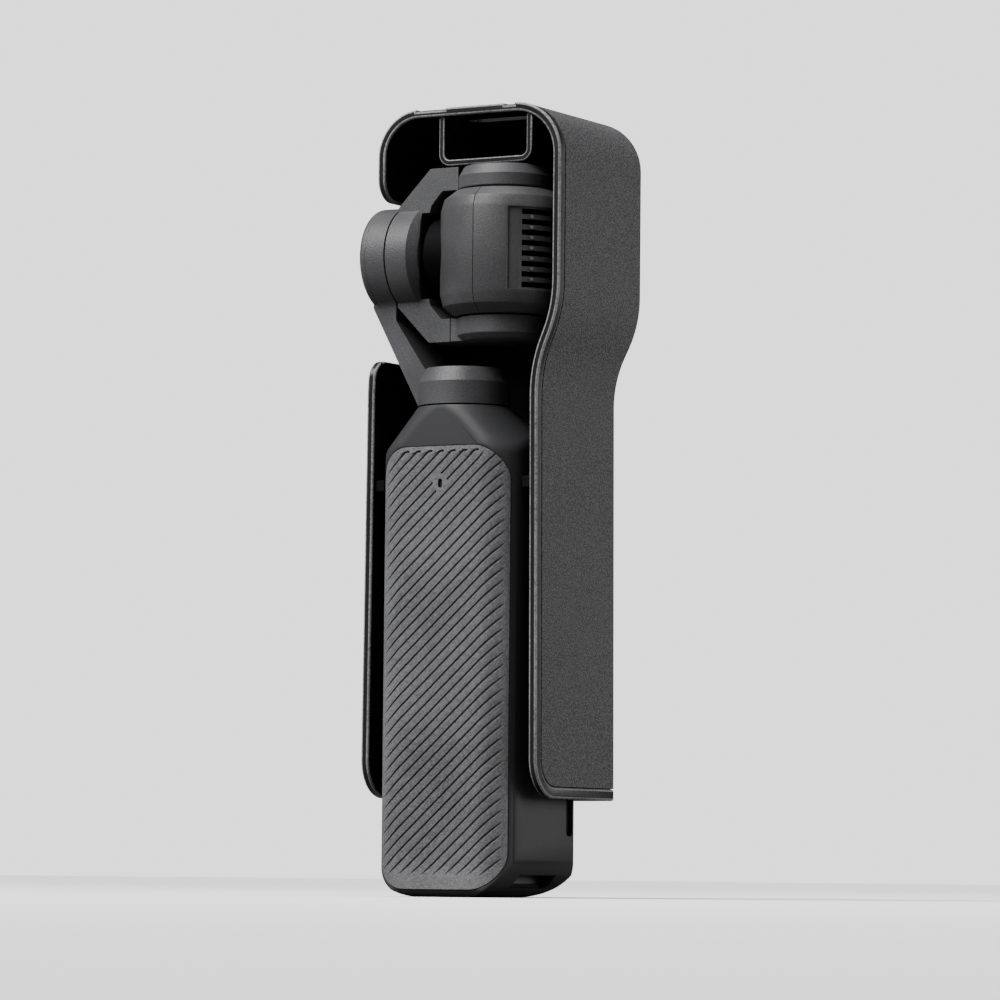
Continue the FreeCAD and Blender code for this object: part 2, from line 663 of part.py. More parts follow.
def joystick_cap():
    start = stick_pivot() + Y_AXIS * STICK_CAP_LIFT
    top = HANDLE_FRONT_Y + STICK_PROUD - start.y
    profile = [(0, 0), (STICK_R, 0), (STICK_R, top * 0.6), (STICK_R * 0.9, top), (STICK_R * 0.7, top),
               (STICK_R * 0.45, top * 0.82), (0, top * 0.76)]
    cap = turned(profile, start, Y_AXIS, X_AXIS)
    stem_start = stick_pivot() - Y_AXIS * (STICK_RING_THICK / 2)
    stem = rod(STICK_STEM_R, stem_start, Y_AXIS, STICK_RING_THICK / 2 + STICK_CAP_LIFT + SEAT)
    upright_pins = pin_through(Z_AXIS, STICK_RING_R - STICK_PIN_REACH, STICK_PIN_R)
    return cap.fuse(stem).fuse(upright_pins).removeSplitter()


def screen_slab(margin, y0, y1):
    half = SCREEN_WIDTH / 2 - margin
    return rounded_slab(-half, half, SCREEN_LOW_Z + margin, SCREEN_TOP_Z - margin, SCREEN_CORNER_R - margin, y0, y1)


def screen_housing():
    body = screen_slab(0, SCREEN_BACK_Y, SCREEN_FRONT_Y)
    edges = [edge for edge in body.Edges if edge.BoundBox.YMin > SCREEN_FRONT_Y - SEAT]
    body = body.makeChamfer(0.4, edges)
    return body.cut(screen_slab(GLASS_MARGIN - SEAT / 2, SCREEN_FRONT_Y - GLASS_THICK, SCREEN_FRONT_Y + SEAT))


def screen_glass():
    return screen_slab(GLASS_MARGIN, SCREEN_FRONT_Y - GLASS_THICK, SCREEN_FRONT_Y - SEAT / 2)


def screen_pivot():
    flange_y = INNER_FRONT_Y - SEAM - SCREEN_FLANGE_THICK
    centre = vector(SCREEN_PIVOT_X, flange_y, SCREEN_PIVOT_Z)
    boss = rod(SCREEN_BOSS_R, centre, Y_AXIS, SCREEN_BACK_Y - flange_y)
    flange = rod(SCREEN_FLANGE_R, centre, Y_AXIS, SCREEN_FLANGE_THICK)
    return boss.fuse(flange).removeSplitter()


def motor_pieces(base, axis, radius, length):
    """Stator ring with its bearing, standing on base and running along axis."""
    stator = tube(radius, BEARING_R + PRESS_GAP, base, axis, length)
    bearing_start = base + axis * ((length - BEARING_LENGTH) / 2)
    bearing = tube(BEARING_R, SHAFT_R + PIN_FIT, bearing_start, axis, BEARING_LENGTH)
    return stator, bearing


def pan_motor():
    base = vector(0, 0, CAVITY_TOP_Z + SEAT)
    length = NECK_TOP_Z - base.z - HANDLE_WALL / 2
    return motor_pieces(base, Z_AXIS, NECK_R - MOTOR_WALL - SEAT / 2, length)


def pan_shaft():
    low = CAVITY_TOP_Z + 2.0
    return rod(SHAFT_R, vector(0, 0, low), Z_AXIS, COLLAR_TOP_Z - COLLAR_ROOF - low)


def pan_arm():
    base = vector(0, 0, COLLAR_LOW_Z)
    rise = COLLAR_TOP_Z - COLLAR_LOW_Z
    collar = turned([(0, 0), (COLLAR_R, 0), (COLLAR_R, COLLAR_HEIGHT), (COLLAR_TOP_R, rise), (0, rise)],
                    base, Z_AXIS, X_AXIS)
    inner_x = ROLL_SEAM_X
    foot_x = -math.sqrt(COLLAR_R ** 2 - ARM_HALF_Y ** 2)
    head_z = ROLL_Z - ARM_HALF_Y
    corners = [(foot_x, COLLAR_LOW_Z, 0), (ARM_OUTER_X, ROLL_Z - ARM_BEND_DROP, ARM_BEND_R), (ARM_OUTER_X, head_z, 0),
               (inner_x, head_z, 0), (inner_x, ROLL_Z - ARM_INNER_BEND_DROP, ARM_INNER_BEND_R),
               (ARM_INNER_FOOT_X, COLLAR_TOP_Z, 0), (ARM_ROOT_X, COLLAR_LOW_Z + COLLAR_HEIGHT, 0),
               (ARM_ROOT_X, COLLAR_LOW_Z, 0)]
    arm = plate_of(front_outline(corners, -ARM_HALF_Y), vector(0, 2 * ARM_HALF_Y, 0))
    cup_start = vector(ROLL_CUP_BACK_X, 0, ROLL_Z)
    cup_length = ROLL_SEAM_X - ROLL_CUP_BACK_X
    body = collar.fuse(arm).fuse(rod(ROLL_R, cup_start, X_AXIS, cup_length)).removeSplitter()
    blended = []
    for edge in body.Edges:
        bounds = edge.BoundBox
        on_side = bounds.YMax - bounds.YMin < SEAT and abs(abs(bounds.YMin) - ARM_HALF_Y) < SEAT
        level = bounds.ZMax - bounds.ZMin < SEAT and bounds.ZMin > ROLL_Z - ROLL_R and bounds.ZMax < ROLL_Z - ARM_HALF_Y
        if on_side and level:
            blended.append(edge)
    body = body.makeFillet(ARM_BLEND_R, blended)
    behind = vector(ROLL_CUP_BACK_X - FAR, 0, ROLL_Z)
    body = body.cut(rod(ROLL_R - MOTOR_WALL, cup_start, X_AXIS, cup_length + SEAT))
    body = body.cut(rod(ROLL_R + SEAT, behind, X_AXIS, FAR))
    return body.cut(rod(SHAFT_R + PRESS_GAP, base, Z_AXIS, rise - COLLAR_ROOF)).removeSplitter()


def roll_motor_cap():
    start = vector(ROLL_CAP_X, 0, ROLL_Z)
    disc = rod(ROLL_R, start, X_AXIS, ROLL_CAP_THICK)
    rim = [edge for edge in disc.Edges if edge.isClosed() and edge.BoundBox.XMax < ROLL_CAP_X + SEAT]
    return disc.makeFillet(ROLL_CAP_ROUND, rim)


def roll_motor():
    base = vector(ROLL_CUP_BACK_X + SEAT, 0, ROLL_Z)
    length = ROLL_SEAM_X - base.x - SEAT
    return motor_pieces(base, X_AXIS, ROLL_R - MOTOR_WALL - SEAT / 2, length)


def roll_shaft():
    start = vector(ROLL_CUP_BACK_X + 0.5, 0, ROLL_Z)
    return rod(SHAFT_R, start, X_AXIS, HUB_BACK_X + 2.0 - start.x)


def lens_sweep_r():
    return math.hypot(TILT_X - LENS_FRONT_X, LENS_R) + LENS_CLEARANCE


def yoke_corners():
    outer = YOKE_OUTER_HALF_Z
    gap = ARM_GAP_HALF_Z
    soft = YOKE_CORNER_R
    upper = [(TILT_X, outer, 0), (YOKE_SHOULDER_X, outer, soft), (HUB_BACK_X, YOKE_FOOT_HALF_Z, 0)]
    lower = [(HUB_BACK_X, -YOKE_FOOT_HALF_Z, 0), (YOKE_SHOULDER_X, -outer, soft), (LOWER_ARM_END_X, -outer, 0),
             (LOWER_ARM_END_X, -gap, 0)]
    inner = [(YOKE_NECK_X, -gap, soft), (YOKE_KNEE_X, -YOKE_KNEE_HALF_Z, soft), (YOKE_INNER_X, -YOKE_INNER_HALF_Z, soft),
             (YOKE_INNER_X, YOKE_INNER_HALF_Z, soft), (YOKE_KNEE_X, YOKE_KNEE_HALF_Z, soft), (YOKE_NECK_X, gap, soft),
             (TILT_X, gap, 0)]
    return [(x, ROLL_Z + z, radius) for x, z, radius in upper + lower + inner]


def yoke():
    plate = plate_of(front_outline(yoke_corners(), -YOKE_HALF_Y), vector(0, 2 * YOKE_HALF_Y, 0))
    length = HUB_FRONT_X - HUB_BACK_X
    hub = turned([(0, 0), (ROLL_R, 0), (ROLL_R, length - HUB_CHAMFER), (ROLL_R - HUB_CHAMFER, length), (0, length)],
                 vector(HUB_BACK_X, 0, ROLL_Z), X_AXIS, Y_AXIS)
    body = plate.fuse(hub)
    scoop = rod(lens_sweep_r(), vector(TILT_X, 0, ROLL_Z - SCOOP_HALF_Z), Z_AXIS, 2 * SCOOP_HALF_Z)
    body = body.cut(scoop)
    cap_space = rod(TILT_R + SEAT / 2, vector(TILT_X, 0, ROLL_Z + ARM_GAP_HALF_Z - SEAT), Z_AXIS, FAR)
    body = body.cut(cap_space)
    return body.cut(rod(SHAFT_R + PRESS_GAP, vector(HUB_BACK_X, 0, ROLL_Z), X_AXIS, ROLL_SHAFT_DEPTH)).removeSplitter()


def top_pivot_cap():
    low = ROLL_Z + ARM_GAP_HALF_Z
    rise = YOKE_OUTER_HALF_Z - ARM_GAP_HALF_Z
    disc = turned([(0, 0), (TILT_R, 0), (TILT_R, rise - CAP_CHAMFER), (TILT_R - CAP_CHAMFER_WIDTH, rise), (0, rise)],
                  vector(TILT_X, 0, low), Z_AXIS, X_AXIS)
    return disc.cut(rod(SHAFT_R + PIN_FIT, vector(TILT_X, 0, low), Z_AXIS, rise - PIVOT_ROOF))


def tilt_motor_housing():
    low = ROLL_Z - YOKE_OUTER_HALF_Z
    rise = YOKE_OUTER_HALF_Z - ARM_GAP_HALF_Z
    cup = turned([(0, 0), (TILT_R - TILT_CHAMFER, 0), (TILT_R, TILT_CHAMFER), (TILT_R, rise), (0, rise)],
                 vector(TILT_X, 0, low), Z_AXIS, X_AXIS)
    stub = block(LOWER_ARM_END_X + SEAT, TILT_X, -YOKE_HALF_Y, YOKE_HALF_Y, low, low + rise)
    cavity = rod(TILT_R - TILT_WALL, vector(TILT_X, 0, low + TILT_WALL), Z_AXIS, rise)
    return cup.fuse(stub).cut(cavity).removeSplitter()


def tilt_motor():
    base = vector(TILT_X, 0, ROLL_Z - YOKE_OUTER_HALF_Z + TILT_WALL)
    length = YOKE_OUTER_HALF_Z - ARM_GAP_HALF_Z - TILT_WALL
    stator = tube(TILT_R - TILT_WALL - SEAT / 2, BEARING_R + PRESS_GAP, base, Z_AXIS, length)
    bearing = tube(BEARING_R, SHAFT_R + PIN_FIT, base, Z_AXIS, length)
    return stator, bearing


def barrel_profile(inset):
    """Half outline of the barrel from its lower to its upper end, drawn in by inset."""
    end = BARREL_HALF_Z - inset
    upper = [(BARREL_R - inset, BARREL_STRAIGHT_HALF_Z), (BARREL_KNEE_R - inset, BARREL_KNEE_HALF_Z - inset / 2),
             (BARREL_END_R - inset, end), (0, end)]
    lower = [(radius, -height) for radius, height in reversed(upper)]
    return lower + upper


def barrel_shell():
    outer = turned(barrel_profile(0), TILT_POINT, Z_AXIS, X_AXIS)
    return outer.cut(turned(barrel_profile(BARREL_WALL), TILT_POINT, Z_AXIS, X_AXIS))


def seam_block(side):
    """Everything on one side of the seam plane between the two camera shells."""
    face = TILT_X + side * SHELL_SEAM / 2
    return block(min(face, side * FAR), max(face, side * FAR), -FAR, FAR, 0, 3 * FAR)


def pivot_holes():
    low = vector(TILT_X, 0, ROLL_Z - BARREL_HALF_Z - SEAT)
    return rod(SHAFT_R + PRESS_GAP, low, Z_AXIS, 2 * BARREL_HALF_Z + 2 * SEAT)


def camera_front_shell():
    shell = barrel_shell().common(seam_block(-1)).cut(pivot_holes())
    return shell.cut(rod(LENS_R + SEAT / 2, vector(LENS_ROOT_X, 0, ROLL_Z), X_AXIS * -1, FAR))


def sector(radius, bore, start_angle, low, height):
    """Part ring about the tilt axis, centred on the side that faces away from the lens."""
    spread = 2 * (90.0 - start_angle)
    centre = vector(TILT_X, 0, low)
    pie = Part.makeCylinder(radius, height, centre, Z_AXIS, spread)
    pie.rotate(centre, Z_AXIS, -spread / 2)
    return pie.cut(rod(bore, centre, Z_AXIS, height))


def vent_heights():
    first = ROLL_Z - VENT_PITCH * (VENT_COUNT - 1) / 2
    return [first + index * VENT_PITCH for index in range(VENT_COUNT)]


def camera_rear_shell():
    shell = barrel_shell().common(seam_block(1)).cut(pivot_holes())
    panel = sector(BARREL_R + SEAT, BARREL_R - VENT_PANEL_DEPTH, VENT_PANEL_START,
                   ROLL_Z - VENT_PANEL_HALF_Z, 2 * VENT_PANEL_HALF_Z)
    shell = shell.cut(panel)
    for height in vent_heights():
        slot = sector(BARREL_R + SEAT, BARREL_R - 2 * BARREL_WALL, VENT_START, height - VENT_HEIGHT / 2, VENT_HEIGHT)
        shell = shell.cut(slot)
    return shell


def vent_studs():
    """Small bright studs on the ribs between the vents, in two upright rows."""
    studs = []
    heights = vent_heights()
    base_r = BARREL_R - VENT_PANEL_DEPTH
    for angle in (STUD_ANGLE, 180.0 - STUD_ANGLE):
        turn = math.radians(angle)
        outward = vector(math.sin(turn), -math.cos(turn), 0)
        for low, high in zip(heights, heights[1:]):
            root = vector(TILT_X, 0, (low + high) / 2) + outward * (base_r - PRESS_GAP)
            studs.append(rod(STUD_R, root, outward, VENT_PANEL_DEPTH))
    return Part.makeCompound(studs)


def lens_ring():
    start = vector(LENS_FRONT_X, 0, ROLL_Z)
    length = LENS_ROOT_X - LENS_FRONT_X
    ring = tube(LENS_R, LENS_BORE, start, X_AXIS, length)
    rims = [edge for edge in ring.Edges if edge.isClosed() and edge.BoundBox.XMax < LENS_FRONT_X + SEAT]
    return ring.makeChamfer(0.4, rims)


def lens_glass():
    start = vector(LENS_FRONT_X + LENS_SETBACK, 0, ROLL_Z)
    radius = LENS_BORE - SEAT / 2
    profile = [(0, 0), (radius * 0.6, 0.12), (radius, 0.4), (radius, LENS_GLASS_THICK), (0, LENS_GLASS_THICK)]
    return turned(profile, start, X_AXIS, Y_AXIS)


def lens_tube():
    start = vector(LENS_FRONT_X + LENS_SETBACK + LENS_GLASS_THICK + SEAT, 0, ROLL_Z)
    return tube(LENS_BORE - SEAT / 2, LENS_BORE - 1.6, start, X_AXIS, LENS_TUBE_END_X - start.x)


def inner_lens():
    start = vector(LENS_FRONT_X + LENS_SETBACK + 2 * LENS_GLASS_THICK + INNER_LENS_SETBACK, 0, ROLL_Z)
    return rod(LENS_BORE - INNER_LENS_SIDE - SEAT / 2, start, X_AXIS, INNER_LENS_THICK)


def sensor_board():
    return block(LENS_TUBE_END_X + SEAT, LENS_TUBE_END_X + SEAT + BOARD_THICK, -SENSOR_HALF_Y, SENSOR_HALF_Y,
                 ROLL_Z - SENSOR_HALF_Z, ROLL_Z + SENSOR_HALF_Z)


def heat_sink():
    back = LENS_TUBE_END_X + 2 * SEAT + BOARD_THICK
    front = back + SINK_DEPTH
    body = block(back, front, -SENSOR_HALF_Y, SENSOR_HALF_Y, ROLL_Z - SENSOR_HALF_Z, ROLL_Z + SENSOR_HALF_Z)
    pitch = 2 * SENSOR_HALF_Z / SINK_FINS
    for index in range(SINK_FINS - 1):
        low = ROLL_Z - SENSOR_HALF_Z + pitch * (index + 0.75)
        body = body.cut(block(back + SINK_BASE_THICK, front + SEAT, -SENSOR_HALF_Y - SEAT, SENSOR_HALF_Y + SEAT,
                              low, low + pitch / 2))
    return body


def tilt_shaft():
    low = ROLL_Z - YOKE_OUTER_HALF_Z + TILT_WALL + SEAT
    return rod(SHAFT_R, vector(TILT_X, 0, low), Z_AXIS, ROLL_Z - BARREL_HALF_Z + BARREL_WALL - low)


def pivot_pin():
    low = ROLL_Z + BARREL_HALF_Z - BARREL_WALL
    return rod(SHAFT_R, vector(TILT_X, 0, low), Z_AXIS, ROLL_Z + YOKE_OUTER_HALF_Z - 1.0 - SEAT - low)


def cover_half_x(z):
    """Outer half width of the cover's lower part, which widens a little towards its foot."""
    share = (z - COVER_LOW_Z) / (COVER_WAIST_Z - COVER_LOW_Z)
    return COVER_BASE_HALF_X + (COVER_WAIST_HALF_X - COVER_BASE_HALF_X) * share


def sweep_radius(waist_x, head_x):
    """Radius that lets the two arcs of a wall's sweep fill the slant between waist and head."""
    rise = COVER_HEAD_Z - COVER_WAIST_Z
    slant = math.hypot(head_x - waist_x, rise)
    head_turn = math.atan2(abs(head_x - waist_x), rise)
    taper = math.atan2(COVER_BASE_HALF_X - COVER_WAIST_HALF_X, COVER_WAIST_Z - COVER_LOW_Z)
    waist_turn = head_turn + abs(taper)
    return (slant - SEAM) / (math.tan(head_turn / 2) + math.tan(waist_turn / 2))


def cover_corners(bottom):
    base = cover_half_x(bottom)
    waist = COVER_WAIST_HALF_X
    left = COVER_HEAD_LEFT_X
    right = COVER_HEAD_RIGHT_X
    left_r = sweep_radius(waist, -left)
    right_r = sweep_radius(waist, right)
    return [(-base, bottom, 0), (-waist, COVER_WAIST_Z, left_r), (left, COVER_HEAD_Z, left_r),
            (left, COVER_TOP_Z, COVER_TOP_LEFT_R), (right, COVER_TOP_Z, COVER_TOP_RIGHT_R),
            (right, COVER_HEAD_Z, right_r), (waist, COVER_WAIST_Z, right_r), (base, bottom, 0)]


def before_front(front):
    """Space behind the cover's front wall, which steps out softly from the waist to the head."""
    head = front + COVER_HEAD_BULGE
    rise = COVER_HEAD_Z - COVER_WAIST_Z
    turn = math.atan2(COVER_HEAD_BULGE, rise)
    radius = (math.hypot(COVER_HEAD_BULGE, rise) - SEAM) / (2 * math.tan(turn / 2))
    wire = outline([(vector(-FAR, front, -FAR), 0), (vector(-FAR, front, COVER_WAIST_Z), radius),
                    (vector(-FAR, head, COVER_HEAD_Z), radius), (vector(-FAR, head, 3 * FAR), 0),
                    (vector(-FAR, -FAR, 3 * FAR), 0), (vector(-FAR, -FAR, -FAR), 0)])
    return plate_of(wire, vector(2 * FAR, 0, 0))


def cover_form(inset, bottom):
    """Solid cover, drawn in by inset at its walls and its front and open-ended at the bottom."""
    wire = front_outline(cover_corners(bottom - inset), COVER_RIM_Y)
    if inset > 0:
        wire = wire.makeOffset2D(-inset)
    front = COVER_FRONT_Y - inset
    solid = plate_of(wire, vector(0, FAR - COVER_RIM_Y, 0)).common(before_front(front))
    rounded = []
    for edge in solid.Edges:
        bounds = edge.BoundBox
        level = bounds.ZMax - bounds.ZMin < SEAT and bounds.ZMax < COVER_TOP_Z - COVER_WALL - 2 * SEAT
        if bounds.YMin > front - SEAT and not level:
            rounded.append(edge)
    return solid.makeFillet(COVER_FRONT_R - inset, rounded)


def notch_space():
    """Opening in the left wall that lets the roll motor stand out of the cover."""
    front = NOTCH_FRONT_Y
    radius = NOTCH_INNER_R
    wire = outline([(vector(-FAR, COVER_RIM_Y - FAR, NOTCH_LOW_Z), 0), (vector(-FAR, front, NOTCH_LOW_Z), radius),
                    (vector(-FAR, front, NOTCH_TOP_Z), radius), (vector(-FAR, COVER_RIM_Y - FAR, NOTCH_TOP_Z), 0)])
    return plate_of(wire, vector(FAR, 0, 0))


def flange_round(z, direction, radius):
    """Waste at the free corner of the left wall, above or below the notch."""
    centre = vector(-FAR, COVER_RIM_Y + radius, z + direction * radius)
    low = min(z, centre.z)
    high = max(z, centre.z)
    corner = block(-FAR, 0, COVER_RIM_Y - SEAT, centre.y, low, high)
    return corner.cut(rod(radius, centre, X_AXIS, FAR))


def foot_round(y, z, radius):
    """Waste at the free lower corners of both side walls, whose corner is at y and z."""
    corner = block(-FAR, FAR, y - SEAT, y + radius, z - SEAT, z + radius)
    return corner.cut(rod(radius, vector(-FAR, y + radius, z + radius), X_AXIS, 2 * FAR))


def skin_zone(gap):
    """Region of the cover that carries the textured skin, grown by gap towards the bare rim."""
    zone = block(-FAR, FAR, COVER_RIM_Y + RIM_BAND - gap, FAR, COVER_LOW_Z + RIM_BAND - gap, 3 * FAR)
    front = NOTCH_FRONT_Y + RIM_BAND - gap
    grow = RIM_BAND - gap
    radius = NOTCH_INNER_R + grow
    notch = outline([(vector(-FAR, -FAR, NOTCH_LOW_Z - grow), 0), (vector(-FAR, front, NOTCH_LOW_Z - grow), radius),
                     (vector(-FAR, front, NOTCH_TOP_Z + grow), radius), (vector(-FAR, -FAR, NOTCH_TOP_Z + grow), 0)])
    zone = zone.cut(foot_round(COVER_RIM_Y + grow, COVER_LOW_Z + grow, COVER_FOOT_R - grow))
    return zone.cut(plate_of(notch, vector(FAR, 0, 0)))


def cover_shell():
    outer = cover_form(0, COVER_LOW_Z)
    skin_space = outer.cut(cover_form(SKIN_THICK + PRESS_GAP, COVER_LOW_Z - SEAT)).common(skin_zone(SKIN_SEAM))
    inner = cover_form(COVER_WALL, COVER_LOW_Z - FAR)
    shell = outer.cut(inner).cut(skin_space)
    shell = shell.cut(notch_space())
    shell = shell.cut(flange_round(NOTCH_LOW_Z, -1, NOTCH_LOW_R))
    shell = shell.cut(flange_round(NOTCH_TOP_Z, 1, NOTCH_TOP_R))
    shell = shell.cut(foot_round(COVER_RIM_Y, COVER_LOW_Z, COVER_FOOT_R))
    return shell.cut(rim_recesses()).cut(strap_slot())


def rim_recesses():
    """Two shallow recesses in the top of the rim, which leave a bar between them."""
    recesses = [block(x0, x1, COVER_RIM_Y - SEAT, COVER_RIM_Y + RIM_BAND - 2 * SKIN_SEAM,
                      COVER_TOP_Z - RIM_RECESS_DEPTH, COVER_TOP_Z + SEAT) for x0, x1 in RIM_RECESS_SPANS]
    return Part.makeCompound(recesses)


def cover_skin():
    outer = cover_form(0, COVER_LOW_Z)
    skin = outer.cut(cover_form(SKIN_THICK, COVER_LOW_Z - SEAT)).common(skin_zone(0))
    return skin.cut(strap_slot())


def strap_slot():
    half_y = STRAP_SLOT_WIDTH / 2
    half_x = STRAP_SLOT_LENGTH / 2
    radius = half_y * 0.999
    wire = outline([(vector(STRAP_SLOT_X - half_x, STRAP_SLOT_Y - half_y, COVER_TOP_Z - COVER_WALL - SEAT), radius),
                    (vector(STRAP_SLOT_X + half_x, STRAP_SLOT_Y - half_y, COVER_TOP_Z - COVER_WALL - SEAT), radius),
                    (vector(STRAP_SLOT_X + half_x, STRAP_SLOT_Y + half_y, COVER_TOP_Z - COVER_WALL - SEAT), radius),
                    (vector(STRAP_SLOT_X - half_x, STRAP_SLOT_Y + half_y, COVER_TOP_Z - COVER_WALL - SEAT), radius)])
    return plate_of(wire, vector(0, 0, 2 * COVER_WALL))


def strap_tunnel():
    high = COVER_TOP_Z - COVER_WALL
    radius = TUNNEL_CORNER_R
    outer = front_outline([(TUNNEL_LEFT_X, TUNNEL_LOW_Z, radius), (TUNNEL_RIGHT_X, TUNNEL_LOW_Z, radius),
                           (TUNNEL_RIGHT_X, high, 0), (TUNNEL_LEFT_X, high, 0)], TUNNEL_BACK_Y)
    inner_r = radius - TUNNEL_WALL
    inner = front_outline([(TUNNEL_LEFT_X + TUNNEL_WALL, TUNNEL_LOW_Z + TUNNEL_WALL, inner_r),
                           (TUNNEL_RIGHT_X - TUNNEL_WALL, TUNNEL_LOW_Z + TUNNEL_WALL, inner_r),
                           (TUNNEL_RIGHT_X - TUNNEL_WALL, high + SEAT, 0),
                           (TUNNEL_LEFT_X + TUNNEL_WALL, high + SEAT, 0)], TUNNEL_BACK_Y - SEAT)
    depth = vector(0, TUNNEL_DEPTH, 0)
    tunnel = plate_of(outer, depth).cut(plate_of(inner, depth + Y_AXIS * (2 * SEAT)))
    return tunnel.common(cover_form(COVER_WALL + PRESS_GAP, COVER_LOW_Z))


def side_piece(side, y0, y1, z0, z1, gap):
    """Piece between the cover's side wall and the handle, standing off the handle by gap."""
    near = HANDLE_HALF_X + gap
    low_x = cover_half_x(z0) - COVER_WALL - PRESS_GAP
    high_x = cover_half_x(z1) - COVER_WALL - PRESS_GAP
    corners = [vector(side * near, y0, z0), vector(side * low_x, y0, z0), vector(side * high_x, y0, z1),
               vector(side * near, y0, z1)]
    return Part.Face(Part.makePolygon(corners + corners[:1])).extrude(vector(0, y1 - y0, 0))


def clip_tabs():
    low = CLIP_Z - CLIP_HEIGHT / 2
    start = COVER_RIM_Y + CLIP_SETBACK
    tabs = [side_piece(side, start, start + CLIP_DEPTH, low, low + CLIP_HEIGHT, SEAT) for side in (-1, 1)]
    return Part.makeCompound(tabs)


def side_pads():
    middle = (HANDLE_FRONT_Y - FRONT_CORNER_R + HANDLE_BACK_Y + BACK_CORNER_R) / 2
    low = COVER_LOW_Z + RIM_BAND
    high = SCREEN_LOW_Z - PAD_DROP
    pads = [side_piece(side, middle - PAD_WIDTH / 2, middle + PAD_WIDTH / 2, low, high, PAD_GAP) for side in (-1, 1)]
    return Part.makeCompound(pads)


def front_pads():
    wall = COVER_FRONT_Y - COVER_WALL
    pads = []
    for z in (SCREEN_LOW_Z + FRONT_PAD_INSET, SCREEN_TOP_Z - FRONT_PAD_INSET):
        pads.append(rounded_slab(-FRONT_PAD_HALF_X, FRONT_PAD_HALF_X, z - FRONT_PAD_HEIGHT / 2,
                                 z + FRONT_PAD_HEIGHT / 2, FRONT_PAD_CORNER_R, SCREEN_FRONT_Y + PAD_GAP, wall))
    return Part.makeCompound(pads)


def main():
    pan_stator, pan_bearing = pan_motor()
    roll_stator, roll_bearing = roll_motor()
    tilt_stator, tilt_bearing = tilt_motor()
    pieces = {
        "handle_shell": handle_shell(),
        "grip_plate": grip_plate(),
        "mic_mesh": mic_mesh(),
        "status_light": status_light(),
        "latch_bars": latch_bars(),
        "usb_shell": usb_shell(),
        "usb_tongue": usb_tongue(),
        "main_board": main_board(),
        "battery": battery(),
        "control_board": control_board(),
        "card_socket": card_socket(),
        "memory_card": memory_card(),
        "record_button": record_button(),
        "record_dot": record_dot(),
        "joystick_plunger": joystick_plunger(),
        "joystick_ring": joystick_ring(),
        "joystick_cap": joystick_cap(),
        "screen_housing": screen_housing(),
        "screen_glass": screen_glass(),
        "screen_pivot": screen_pivot(),
        "pan_motor_stator": pan_stator,
        "pan_bearing": pan_bearing,
        "pan_shaft": pan_shaft(),
        "pan_arm": pan_arm(),
        "roll_motor_cap": roll_motor_cap(),
        "roll_motor_stator": roll_stator,
        "roll_bearing": roll_bearing,
        "roll_shaft": roll_shaft(),
        "yoke": yoke(),
        "top_pivot_cap": top_pivot_cap(),
        "tilt_motor_housing": tilt_motor_housing(),
        "tilt_motor_stator": tilt_stator,
        "tilt_bearing": tilt_bearing,
        "tilt_shaft": tilt_shaft(),
        "pivot_pin": pivot_pin(),
        "camera_front_shell": camera_front_shell(),
        "camera_rear_shell": camera_rear_shell(),
        "vent_studs": vent_studs(),
        "lens_ring": lens_ring(),
        "lens_glass": lens_glass(),
        "lens_tube": lens_tube(),
        "inner_lens": inner_lens(),
        "sensor_board": sensor_board(),
        "heat_sink": heat_sink(),
        "cover_shell": cover_shell(),
        "cover_skin": cover_skin(),
        "strap_tunnel": strap_tunnel(),
        "clip_tabs": clip_tabs(),
        "side_pads": side_pads(),
        "front_pads": front_pads(),
    }
    os.makedirs("parts", exist_ok=True)
    for name, shape in pieces.items():
        print(name, "solids", len(shape.Solids), "valid", shape.isValid(), "volume", round(shape.Volume, 2))
        shape.exportStep("parts/" + name + ".step")


main()
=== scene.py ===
import bmesh
import bpy
import functools
import json
import math
from bpy.props import FloatProperty, FloatVectorProperty, PointerProperty
from mathutils import Matrix, Vector


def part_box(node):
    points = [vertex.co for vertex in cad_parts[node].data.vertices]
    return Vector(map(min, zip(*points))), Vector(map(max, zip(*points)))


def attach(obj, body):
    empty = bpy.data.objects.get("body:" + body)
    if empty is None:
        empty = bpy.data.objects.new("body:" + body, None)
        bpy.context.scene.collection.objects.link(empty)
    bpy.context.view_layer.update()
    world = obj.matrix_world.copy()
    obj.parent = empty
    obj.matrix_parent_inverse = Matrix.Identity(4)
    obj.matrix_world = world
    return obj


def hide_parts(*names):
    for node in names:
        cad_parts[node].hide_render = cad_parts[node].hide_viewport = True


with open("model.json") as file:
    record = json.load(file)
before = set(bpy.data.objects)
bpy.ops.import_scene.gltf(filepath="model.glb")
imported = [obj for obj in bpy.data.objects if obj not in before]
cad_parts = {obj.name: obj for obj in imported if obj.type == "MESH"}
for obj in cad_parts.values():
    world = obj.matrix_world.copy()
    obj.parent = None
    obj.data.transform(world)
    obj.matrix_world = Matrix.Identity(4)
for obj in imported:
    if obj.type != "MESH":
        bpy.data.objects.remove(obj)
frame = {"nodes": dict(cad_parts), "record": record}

bl_info = {
    "name": "Pocket gimbal camera",
    "version": (1, 0, 0),
    "blender": (4, 5, 0),
    "location": "View3D > Sidebar > Gimbal camera",
    "description": "Dresses the packed gimbal camera and its protective cover",
    "category": "Object",
}

MM = 0.001

# Rounded corners of the handle and the grip plate
CORNER_R = 6.8 * MM

# Smooth ring that the grooves leave around the microphone hole
MIC_ISLAND = 1.5 * MM

# Lengths over which a groove sinks in, fades out, and narrows before its hook
GROOVE_RUN_IN = 2.6 * MM
GROOVE_RUN_OUT = 1.6 * MM
GROOVE_NARROWING = 1.8 * MM

# Distance between a groove's sections, and the least number of them worth cutting
GROOVE_STEP = 0.45 * MM
GROOVE_LEAST_STEPS = 6

